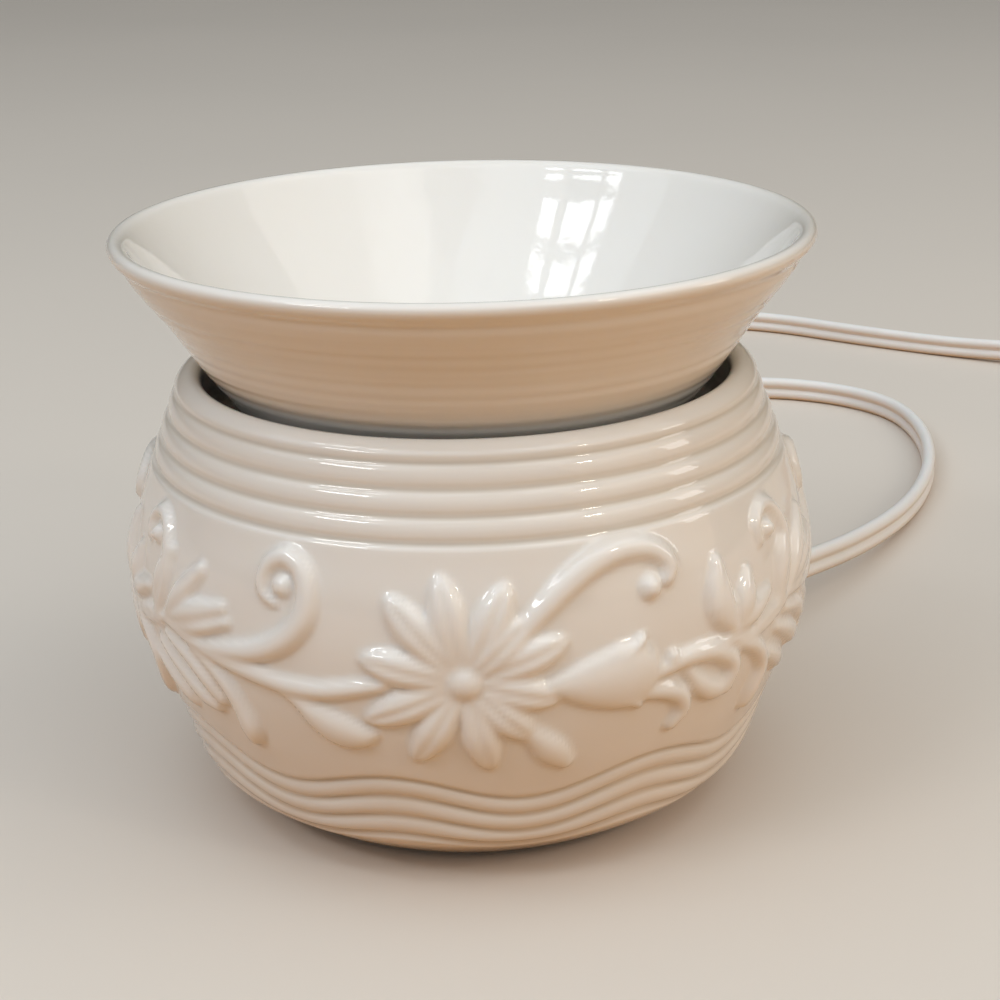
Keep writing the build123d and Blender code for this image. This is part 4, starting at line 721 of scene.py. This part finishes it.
LEAVES = [
    [(-30, 50.2, 0.8, 0.8), (-26.2, 48.2, 1.7, 1.2), (-23.0, 45.6, 3.0, 1.7), (-19.8, 43.6, 3.7, 1.9),
     (-16.8, 42.8, 2.8, 1.6), (-14.6, 43.2, 1.3, 1.0)],
    [(-49, 52.5, 1.0, 0.9), (-44, 50.2, 1.7, 1.2), (-40.5, 47, 2.1, 1.4), (-38.4, 43, 2.3, 1.6),
     (-37.5, 39.5, 2.7, 2.0), (-37.5, 37.0, 2.0, 1.6)],
    [(-57, 52, 1.0, 0.8), (-50, 49.8, 1.9, 1.3), (-45.6, 46.9, 2.3, 1.6), (-42.9, 43.8, 1.8, 1.4)],
    [(-60, 49.5, 1.0, 0.9), (-53, 45.8, 2.0, 1.3), (-48, 42.8, 2.4, 1.6), (-44.6, 41.6, 1.7, 1.4)],
    [(-66, 47, 1.0, 0.8), (-60, 43.6, 1.8, 1.2), (-55, 40.4, 2.1, 1.3), (-53, 38.6, 1.2, 0.9)],
    [(30, 51.5, 1.5, 1.2), (36, 53, 2.0, 1.6), (42, 52, 2.1, 1.7), (46.5, 48, 2.1, 1.7),
     (45.5, 43.8, 2.1, 1.6)],
    [(36, 50.5, 1.2, 0.9), (39, 46.5, 2.1, 1.5), (42.5, 44, 2.3, 1.6), (46, 43.4, 1.8, 1.4)],
    [(47, 52, 1.5, 1.2), (52.5, 49, 1.9, 1.6), (56, 44, 2.0, 1.7), (55, 38.5, 2.3, 1.8), (54, 36, 1.7, 1.4)],
    [(22, 48.6, 1.2, 1.0), (29, 48.4, 1.9, 1.4), (34.3, 46.4, 2.0, 1.6), (36.2, 42.6, 1.8, 1.5),
     (34.4, 39.4, 1.5, 1.2)],
    [(7.5, 46, 1.2, 0.9), (10.6, 42.6, 2.2, 1.3), (13.4, 39.2, 3.0, 1.6), (15.6, 36.4, 1.9, 1.2)],
]
HALF_FLOWERS = [
    [(-56, 56, 1.2, 1.0), (-51, 61.8, 2.6, 1.9), (-46.3, 67.6, 1.5, 1.1)],
    [(-55, 56, 1.2, 1.0), (-48, 59.4, 2.5, 1.9), (-40.6, 62.2, 1.4, 1.1)],
    [(-54, 54.8, 1.0, 0.9), (-46.2, 57.0, 1.8, 1.6), (-39.6, 59.8, 1.2, 1.0)],
    [(-60, 56, 1.2, 1.0), (-58, 63, 2.4, 1.7), (-55, 68.5, 1.3, 1.0)],
    [(46, 55, 1.6, 1.2), (43, 61, 3.6, 2.0), (43.3, 68, 1.6, 1.1)],
    [(47.5, 55, 1.4, 1.1), (49, 59.5, 3.0, 1.9), (50.4, 64, 1.5, 1.0)],
    [(46, 54.5, 1.3, 1.0), (51, 56.5, 2.5, 1.7), (56, 58.6, 1.3, 1.0)],
]
BUD = [
    [(11, 52.6, 0.9, 0.9), (15, 52.6, 2.6, 1.6), (19.5, 52.4, 4.8, 2.1), (23.5, 52.4, 6.2, 2.3),
     (25, 52.5, 6.6, 2.3)],
    [(24, 56, 1.5, 2.0), (27.6, 59.0, 0.8, 1.6)],
    [(24, 49, 1.5, 2.0), (27.2, 46.2, 0.8, 1.5)],
    [(25, 53, 2.2, 2.2), (29.5, 53.4, 1.0, 1.5)],
]
BALLS = [(-28.9, 68.9, 2.0, 1.5), (29.7, 67.4, 2.1, 1.8), (58.5, 69.5, 1.7, 1.6), (33, 54.0, 1.5, 1.4)]
DAISY_MIDDLE = (0.1, 54.2)
DAISY_HEART = (2.9, 1.7)
PETAL_ANGLES = [21, 45, 66, 103, 132, 167, 203.5, 239.5, 283, 315.6, 347]
PETAL_LENGTHS = [18.5, 15, 18.4, 19, 20, 18.2, 19, 18.5, 18.5, 16, 16.5]
PETAL_SHAPE = [(0.20, 1.3, 0.9), (0.40, 2.6, 1.5), (0.62, 3.4, 2.0), (0.81, 2.7, 1.8), (0.94, 1.5, 1.4),
               (1.00, 0.8, 0.8)]
BELLY_RADIUS = 66.0
MM_PER_DEGREE = math.radians(BELLY_RADIUS)

# %% The height map
PATTERN_DEGREES = 120.0
PATTERN_TURN = -91.5
MAP_COLUMNS = 560
MAP_ROWS = 300
MAP_TOP = 80.0
MAP_BOTTOM = 30.0
VEIN_HALF_WIDTH = 0.55
VEIN_DEPTH = 0.5
LINE_DIVISIONS = 5
BALL_REACH = 0.1
FAR_AWAY = 9.0
SHORTEST = 1e-9

columns = np.linspace(-PATTERN_DEGREES / 2, PATTERN_DEGREES / 2, MAP_COLUMNS, endpoint=False)
rows = np.linspace(MAP_BOTTOM, MAP_TOP, MAP_ROWS)
map_run, map_turn = np.meshgrid(rows, columns * MM_PER_DEGREE, indexing="ij")
height_map = np.zeros_like(map_run)


def rounded_line(points):
    """More places on a smooth line through a few given ones."""
    points = np.array(points, dtype=float)
    padded = np.vstack([2 * points[0] - points[1], points, 2 * points[-1] - points[-2]])
    result = []
    for a, b, c, d in zip(padded, padded[1:], padded[2:], padded[3:]):
        for share in np.arange(LINE_DIVISIONS) / LINE_DIVISIONS:
            result.append(0.5 * (2 * b + (c - a) * share + (2 * a - 5 * b + 4 * c - d) * share ** 2
                                 + (3 * b - a - 3 * c + d) * share ** 3))
    return np.array(result + [points[-1]])


def stroke(points, vein=False):
    """Raise one domed stroke, in place, and again one repeat to either side."""
    line = rounded_line(points)
    line[:, 0] *= MM_PER_DEGREE
    for shift in (-PATTERN_DEGREES, 0.0, PATTERN_DEGREES):
        raised = np.zeros_like(height_map)
        nearest = np.full_like(height_map, FAR_AWAY)
        for first, second in zip(line, line[1:]):
            along = second[:2] - first[:2]
            offset_turn = map_turn - first[0] - shift * MM_PER_DEGREE
            offset_run = map_run - first[1]
            share = offset_turn * along[0] + offset_run * along[1]
            share = np.clip(share / max(along @ along, SHORTEST), 0, 1)
            distance = np.hypot(offset_turn - share * along[0], offset_run - share * along[1])
            half_width = first[2] + share * (second[2] - first[2])
            height = first[3] + share * (second[3] - first[3])
            dome = height * np.sqrt(np.clip(1 - (distance / half_width) ** 2, 0, 1))
            np.maximum(raised, dome, out=raised)
            np.minimum(nearest, distance, out=nearest)
        if vein:
            raised -= VEIN_DEPTH * np.exp(-(nearest / VEIN_HALF_WIDTH) ** 2) * (raised > 0)
        np.maximum(height_map, raised, out=height_map)


for line in STEMS + SCROLLS + LEAVES + HALF_FLOWERS + BUD:
    stroke(line)
for turn, run, half_width, height in BALLS:
    stroke([(turn, run, half_width, height), (turn + BALL_REACH, run, half_width, height)])
for angle, length in zip(PETAL_ANGLES, PETAL_LENGTHS):
    across = math.cos(math.radians(angle)) / MM_PER_DEGREE
    upward = math.sin(math.radians(angle))
    stroke([(DAISY_MIDDLE[0] + across * length * share, DAISY_MIDDLE[1] + upward * length * share, width,
             height) for share, width, height in PETAL_SHAPE], vein=True)
stroke([(*DAISY_MIDDLE, *DAISY_HEART), (DAISY_MIDDLE[0] + BALL_REACH, DAISY_MIDDLE[1], *DAISY_HEART)])
print(f"height map: {height_map.shape}, highest {height_map.max():.2f} mm")

# %% [markdown]
# Glaze fills sharp corners, so the map is softened twice before it is pressed into the wall. The mesh already
# knows each point's place on the wall, because the tree stored it, and the point then moves along its normal.


# %% Press the flowers into the wall
SOFTENINGS = 2


def softened(values):
    """Average each place with its neighbours, round the repeat and up the wall."""
    values = (np.roll(values, 1, 1) + 2 * values + np.roll(values, -1, 1)) / 4
    edged = np.pad(values, ((1, 1), (0, 0)), "edge")
    return (edged[:-2] + 2 * edged[1:-1] + edged[2:]) / 4


for _ in range(SOFTENINGS):
    height_map = softened(height_map)


def read_points(mesh, label):
    """A mesh attribute as an array of numbers."""
    values = np.empty(len(mesh.vertices), dtype=np.float32)
    mesh.attributes[label].data.foreach_get("value", values)
    return values


def map_height(turn_degrees, run):
    """The map's height at places on the wall, blended between its cells."""
    local = (turn_degrees - PATTERN_TURN + PATTERN_DEGREES / 2) % PATTERN_DEGREES
    column = local / PATTERN_DEGREES * MAP_COLUMNS
    row = np.clip((run - MAP_BOTTOM) / (MAP_TOP - MAP_BOTTOM) * (MAP_ROWS - 1), 0, MAP_ROWS - 1.001)
    left, below = np.floor(column).astype(int), np.floor(row).astype(int)
    side, rise = column - left, row - below
    right, left = (left + 1) % MAP_COLUMNS, left % MAP_COLUMNS
    low = height_map[below, left] * (1 - side) + height_map[below, right] * side
    high = height_map[below + 1, left] * (1 - side) + height_map[below + 1, right] * side
    inside = (run > MAP_BOTTOM) & (run < MAP_TOP)
    return np.where(inside, low * (1 - rise) + high * rise, 0.0)


def press_pattern(thing):
    """Move the wall's points outward by the height map, and add it to what they already stand proud."""
    mesh = thing.data
    count = len(mesh.vertices)
    places = np.empty(count * 3, dtype=np.float32)
    mesh.vertices.foreach_get("co", places)
    places = places.reshape(-1, 3)
    run = read_points(mesh, "run")
    relief = map_height(np.degrees(np.arctan2(places[:, 1], places[:, 0])), run)
    directions = np.empty(count * 3, dtype=np.float32)
    mesh.vertex_normals.foreach_get("vector", directions)
    places += directions.reshape(-1, 3) * (relief * MM)[:, None].astype(np.float32)
    mesh.vertices.foreach_set("co", places.ravel())
    raised = read_points(mesh, "raised") + relief
    mesh.attributes["raised"].data.foreach_set("value", raised.astype(np.float32))
    mesh.update()
    return relief.max()


face_outwards(base_skin)
print(f"highest flower: {press_pattern(base_skin):.2f} mm")
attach(base_skin, "base")
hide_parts("base_shell")

# %% [markdown]
# The dish is thinner and plainer. Its lip is a full round roll, its foot is short, and the outside keeps the
# faint rings of the wheel. The same tree makes it: two shallow bands of ribs with different pitches lie over
# each other, which looks less even. The outline's two points on the axis are doubled, so that the curve
# through them keeps the floor flat right to its middle.

# %% The dish
DISH_FLOOR_TOP = 78.0
DISH_FLOOR_UNDER = 75.0
AXIS_REACH = 0.5
DISH_OUTLINE = [
    (44.8, 80.2), (51.5, 89.0), (56.7, 97.0), (62.7, 105.0), (64.7, 108.6), (66.3, 110.2), (66.7, 111.6),
    (65.6, 112.7), (63.9, 112.2), (62.3, 110.0), (59.0, 105.0), (55.5, 100.0), (51.8, 95.0), (47.9, 90.0),
    (43.8, 85.0), (40.4, 81.8), (36.4, 79.3), (31.0, 78.2), (24.0, DISH_FLOOR_TOP), (12.0, DISH_FLOOR_TOP),
    (0.0, DISH_FLOOR_TOP), (0.0, DISH_FLOOR_TOP), (0.0, DISH_FLOOR_UNDER), (0.0, DISH_FLOOR_UNDER),
    (16.0, DISH_FLOOR_UNDER), (31.0, DISH_FLOOR_UNDER), (32.6, 74.7), (33.0, 74.1),
    (34.4, 74.0), (35.8, 74.0), (36.5, 74.6), (38.8, 76.3), (42.0, 78.1),
]
DISH_BANDS = {
    "Upper": (3.0, 38.0, 3.7, 0.12, 0.6, 0, 0, 0),
    "Lower": (2.0, 37.0, 2.6, 0.09, 0.7, 2, 0.7, 0.5),
}
DISH_AROUND = 384
DISH_OUTSIDE_ROWS = 90
DISH_INSIDE_ROWS = 80
DISH_OUTSIDE_LENGTH = 50.0

dish_skin = turned_piece("dish_skin", DISH_OUTLINE, DISH_BANDS, Around=DISH_AROUND,
                         Fine_Rows=DISH_OUTSIDE_ROWS, Coarse_Rows=DISH_INSIDE_ROWS,
                         Fine_Length=DISH_OUTSIDE_LENGTH, Finish=GLAZE)
# What the sampling left beside the axis goes to the two points that the floor has there.
for point in dish_skin.data.vertices:
    if math.hypot(point.co.x, point.co.y) < AXIS_REACH * MM:
        upper = point.co.z > (DISH_FLOOR_TOP + DISH_FLOOR_UNDER) / 2 * MM
        point.co = (0.0, 0.0, (DISH_FLOOR_TOP if upper else DISH_FLOOR_UNDER) * MM)
face_outwards(dish_skin)
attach(dish_skin, "dish")
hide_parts("dish")
print(f"dish: {len(dish_skin.data.vertices)} points")

# %% [markdown]
# Every piece that was right as it stood keeps its shape and gets a finish. The outside pieces are moulded
# vinyl, rubber and plated brass. The inside ones are seen when the dish is lifted or the base is turned over:
# black enamel, zinc-plated steel, mica, nickel-chrome ribbon, ceramic beads and sleeved wire.

# %% Finishes for the measured pieces
STRETCH_UP = (1.0, 1.0, 0.08)
FINISHES = {
    "glaze": GLAZE,
    "white_cord": finish("cord_vinyl", (0.850, 0.855, 0.850), (0.815, 0.818, 0.810), 60.0, (0.34, 0.46),
                         1500.0, 0.02, Subsurface_Weight=0.05, Subsurface_Scale=0.002),
    "white_switch": finish("switch_plastic", (0.790, 0.780, 0.745), (0.770, 0.760, 0.722), 50.0, (0.28, 0.40),
                           1400.0, 0.015),
    "rocker_plastic": finish("rocker_plastic", (0.760, 0.750, 0.715), (0.735, 0.725, 0.690), 70.0,
                             (0.22, 0.34), 1400.0, 0.01),
    "tie_plastic": finish("tie_plastic", (0.030, 0.030, 0.032), (0.045, 0.045, 0.047), 90.0, (0.35, 0.50),
                          1200.0, 0.02),
    "plated_brass": finish("plated_brass", (0.720, 0.705, 0.670), (0.660, 0.640, 0.600), 120.0, (0.18, 0.34),
                           1800.0, 0.01, stretch=STRETCH_UP, Metallic=1.0),
    "zinc_steel": finish("zinc_steel", (0.600, 0.605, 0.600), (0.510, 0.520, 0.525), 90.0, (0.28, 0.45),
                         1300.0, 0.02, Metallic=1.0),
    "dark_rubber": finish("dark_rubber", (0.040, 0.040, 0.042), (0.065, 0.063, 0.060), 80.0, (0.55, 0.78),
                          1100.0, 0.05),
    "pan_steel": finish("pan_steel", (0.520, 0.525, 0.525), (0.410, 0.405, 0.395), 70.0, (0.30, 0.48),
                        900.0, 0.02, stretch=STRETCH_UP, Metallic=1.0),
    "black_enamel": finish("black_enamel", (0.022, 0.022, 0.024), (0.034, 0.033, 0.034), 45.0, (0.30, 0.46),
                           700.0, 0.04),
    "mica": finish("mica_sheet", (0.520, 0.470, 0.370), (0.620, 0.570, 0.470), 160.0, (0.22, 0.40),
                   600.0, 0.04, stretch=(1.0, 1.0, 6.0)),
    "element_metal": finish("heating_ribbon", (0.420, 0.400, 0.380), (0.300, 0.270, 0.250), 240.0,
                            (0.35, 0.55), 1600.0, 0.01, Metallic=1.0),
    "bead_ceramic": finish("bead_ceramic", (0.800, 0.780, 0.730), (0.740, 0.710, 0.650), 300.0, (0.55, 0.75),
                           1500.0, 0.03),
    "bare_aluminium": finish("bare_aluminium", (0.740, 0.745, 0.750), (0.660, 0.665, 0.670), 150.0,
                             (0.25, 0.42), 1500.0, 0.01, stretch=STRETCH_UP, Metallic=1.0),
    "dark_plastic": finish("dark_plastic", (0.050, 0.042, 0.036), (0.070, 0.058, 0.048), 140.0, (0.40, 0.55),
                           1300.0, 0.03),
    "contact_brass": finish("contact_brass", (0.720, 0.560, 0.260), (0.600, 0.450, 0.210), 180.0,
                            (0.25, 0.42), 1600.0, 0.01, Metallic=1.0),
    "wire_skin_live": finish("live_wire_sleeve", (0.330, 0.070, 0.050), (0.280, 0.055, 0.040), 200.0,
                             (0.45, 0.60), 1500.0, 0.02),
    "wire_skin_neutral": finish("neutral_wire_sleeve", (0.740, 0.730, 0.700), (0.690, 0.680, 0.645), 200.0,
                                (0.45, 0.60), 1500.0, 0.02),
    "wire_skin_link": finish("link_wire_sleeve", (0.560, 0.420, 0.200), (0.500, 0.370, 0.170), 200.0,
                             (0.45, 0.60), 1500.0, 0.02),
}

for row in frame["record"]["subparts"]:
    piece = nodes[row["node"]]
    for place in piece.material_slots:
        place.material = FINISHES[row["material_slot"]]
print("finishes:", len(FINISHES), "on", len(nodes), "nodes")

# %% The cord
cord = swept("flat_cord", cord_path, flat_cord_section(), FINISHES["white_cord"])
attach(cord, "base")
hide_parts("cord_lead", "cord_mid", "cord_coil", "cord_tail")
print(f"cord: {len(cord.data.vertices)} points")

# %% [markdown]
# The floor is pale where the camera looks at it or where a glossy surface mirrors it. What it throws back as
# plain soft light is warmer and weaker, as from a wooden table top, so that the undersides of the glazed
# forms turn darker and warmer and their roundness shows. Light Path tells the two kinds of ray apart.

# %% Floor
FLOOR_REACH = 6.0
FLOOR_TONE = (0.720, 0.670, 0.610)
FLOOR_SECOND_TONE = (0.710, 0.658, 0.596)
FLOOR_ROUGHNESS = (0.60, 0.75)
FLOOR_CLOUD_SCALE = 3.0
FLOOR_GRAIN_SCALE = 300.0
FLOOR_GRAIN_DEPTH = 0.01
FLOOR_BOUNCE = (0.50, 0.215, 0.02, 1.0)


def floor_finish():
    """Pale to the eye, warm and weaker in what it throws back."""
    material = finish("pale_floor", FLOOR_TONE, FLOOR_SECOND_TONE, FLOOR_CLOUD_SCALE, FLOOR_ROUGHNESS,
                      FLOOR_GRAIN_SCALE, FLOOR_GRAIN_DEPTH)
    tree = material.node_tree
    shader = tree.nodes["Principled BSDF"]
    clouded = shader.inputs["Base Color"].links[0].from_socket
    ray = add_node(tree, "ShaderNodeLightPath")
    seen = Field(tree, ray.outputs["Is Camera Ray"]) + Field(tree, ray.outputs["Is Glossy Ray"])
    seen = (seen + Field(tree, ray.outputs["Is Transmission Ray"])).combine("MINIMUM", 1.0)
    connect(tree, mixed(tree, seen, FLOOR_BOUNCE, clouded), shader.inputs["Base Color"])
    return material


floor_corners = [(across * FLOOR_REACH, along * FLOOR_REACH, 0.0)
                 for across, along in ((-1, -1), (1, -1), (1, 1), (-1, 1))]
floor = mesh_object("floor", floor_corners, [(0, 1, 2, 3)], floor_finish(), smooth=False)
floor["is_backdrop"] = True

# %% [markdown]
# The sky is plain and weak, paler overhead. One window stands high at the left, with its panes as separate
# lamps, because glossy glaze mirrors the bars between them. Broad soft lamps do the rest: cooler from the
# left, warmer from the right. The small ones are there for the bright points that they leave on the ribs.

# %% Sky
SKY_TOP = (0.93, 0.965, 1.0, 1.0)
SKY_EDGE = (0.17, 0.13, 0.06, 1.0)
SKY_AIM = Vector((-0.10, -0.35, 0.93))
SKY_LOW = -0.1
SKY_STRENGTH = 0.52

world = bpy.data.worlds.new("pale_room")
world.use_nodes = True
sky = world.node_tree
towards = add_node(sky, "ShaderNodeVectorMath", {"operation": "DOT_PRODUCT"})
connect(sky, add_node(sky, "ShaderNodeTexCoord").outputs["Generated"], towards.inputs[0])
towards.inputs[1].default_value = SKY_AIM
rise = smooth_step(sky, towards.outputs["Value"], SKY_LOW, 1.0)
connect(sky, mixed(sky, rise, SKY_EDGE, SKY_TOP), sky.nodes["Background"].inputs["Color"])
sky.nodes["Background"].inputs["Strength"].default_value = SKY_STRENGTH
bpy.context.scene.world = world


# %% Lamps
BASE_MIDDLE = (0.0, 0.0, 0.05)
LAMPS = [
    ("ceiling", (0.1, 0.20, 1.60), BASE_MIDDLE, 2.0, 1.7, 3.4, (0.95, 0.98, 1.0)),
    ("left_wall", (-0.75, -0.35, 1.40), BASE_MIDDLE, 1.5, 1.4, 4.4, (0.78, 0.90, 1.0)),
    ("right_high", (0.95, -0.35, 1.15), BASE_MIDDLE, 1.4, 1.3, 4.3, (1.0, 0.95, 0.86)),
    ("left_sill", (-0.75, -0.60, 0.88), (0.0, 0.0, 0.08), 0.40, 0.12, 2.0, (0.98, 0.99, 1.0)),
    ("front", (0.0, -0.95, 1.35), BASE_MIDDLE, 1.8, 1.2, 3.4, (0.95, 0.98, 1.0)),
    ("right_wall", (1.15, -0.60, 0.50), BASE_MIDDLE, 1.3, 1.0, 2.4, (1.0, 0.74, 0.46)),
    ("right_bulb", (0.80, -0.75, 0.80), (0.0, 0.0, 0.06), 0.13, 0.08, 0.8, (1.0, 0.92, 0.80)),
    ("right_window", (1.15, -0.15, 0.42), (0.0, 0.0, 0.06), 0.24, 0.36, 0.7, (0.97, 0.98, 1.0)),
]


def facing(place, aim, lean):
    """The turn of a lamp at a place that shines at its aim, leaned round its own beam."""
    turn = (Vector(aim) - Vector(place)).to_track_quat("-Z", "Y").to_matrix()
    return turn @ Matrix.Rotation(lean, 3, "Z")


def soft_lamp(name, place, aim, width, height, watts, colour, lean=0.0):
    """A rectangular lamp. The places and sizes are in metres."""
    data = bpy.data.lights.new(name, "AREA")
    data.shape = "RECTANGLE"
    data.size, data.size_y = width, height
    data.energy = watts
    data.color = colour
    lamp = bpy.data.objects.new(name, data)
    lamp.rotation_euler = facing(place, aim, lean).to_euler()
    lamp.location = place
    bpy.context.scene.collection.objects.link(lamp)


for lamp in LAMPS:
    soft_lamp(*lamp)
print("lamps:", len(bpy.data.lights))

# %% Window
WINDOW_MIDDLE = Vector((-0.595, -0.267, 1.137))
WINDOW_AIM = Vector((0.03, 0.045, 0.10))
WINDOW_LEAN = math.radians(23.6)
WINDOW_COLUMNS = [(0.165, 0.105), (-0.040, 0.180), (-0.215, 0.095)]
WINDOW_ROWS = [(-0.082, 0.064), (-0.008, 0.030)]
WINDOW_WATTS_PER_AREA = 19.0
WINDOW_COLOUR = (0.94, 0.97, 1.0)

window_turn = facing(WINDOW_MIDDLE, WINDOW_AIM, WINDOW_LEAN)
for column, (across, width) in enumerate(WINDOW_COLUMNS):
    for row, (upward, height) in enumerate(WINDOW_ROWS):
        offset = window_turn @ Vector((across, upward, 0))
        soft_lamp(f"window_pane_{column}_{row}", WINDOW_MIDDLE + offset, WINDOW_AIM + offset, width, height,
                  WINDOW_WATTS_PER_AREA * width * height, WINDOW_COLOUR, WINDOW_LEAN)
print("window panes:", len(WINDOW_COLUMNS) * len(WINDOW_ROWS))

# %% [markdown]
# The last cell prints the measured box and the dressed box side by side. The dressed part may stand only a
# little proud of the measured one.

# %% Sizes and the end
dressed_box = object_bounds()
for label, box in (("measured", cad_box), ("dressed", dressed_box)):
    print(label, [[round(value, 4) for value in corner] for corner in box])
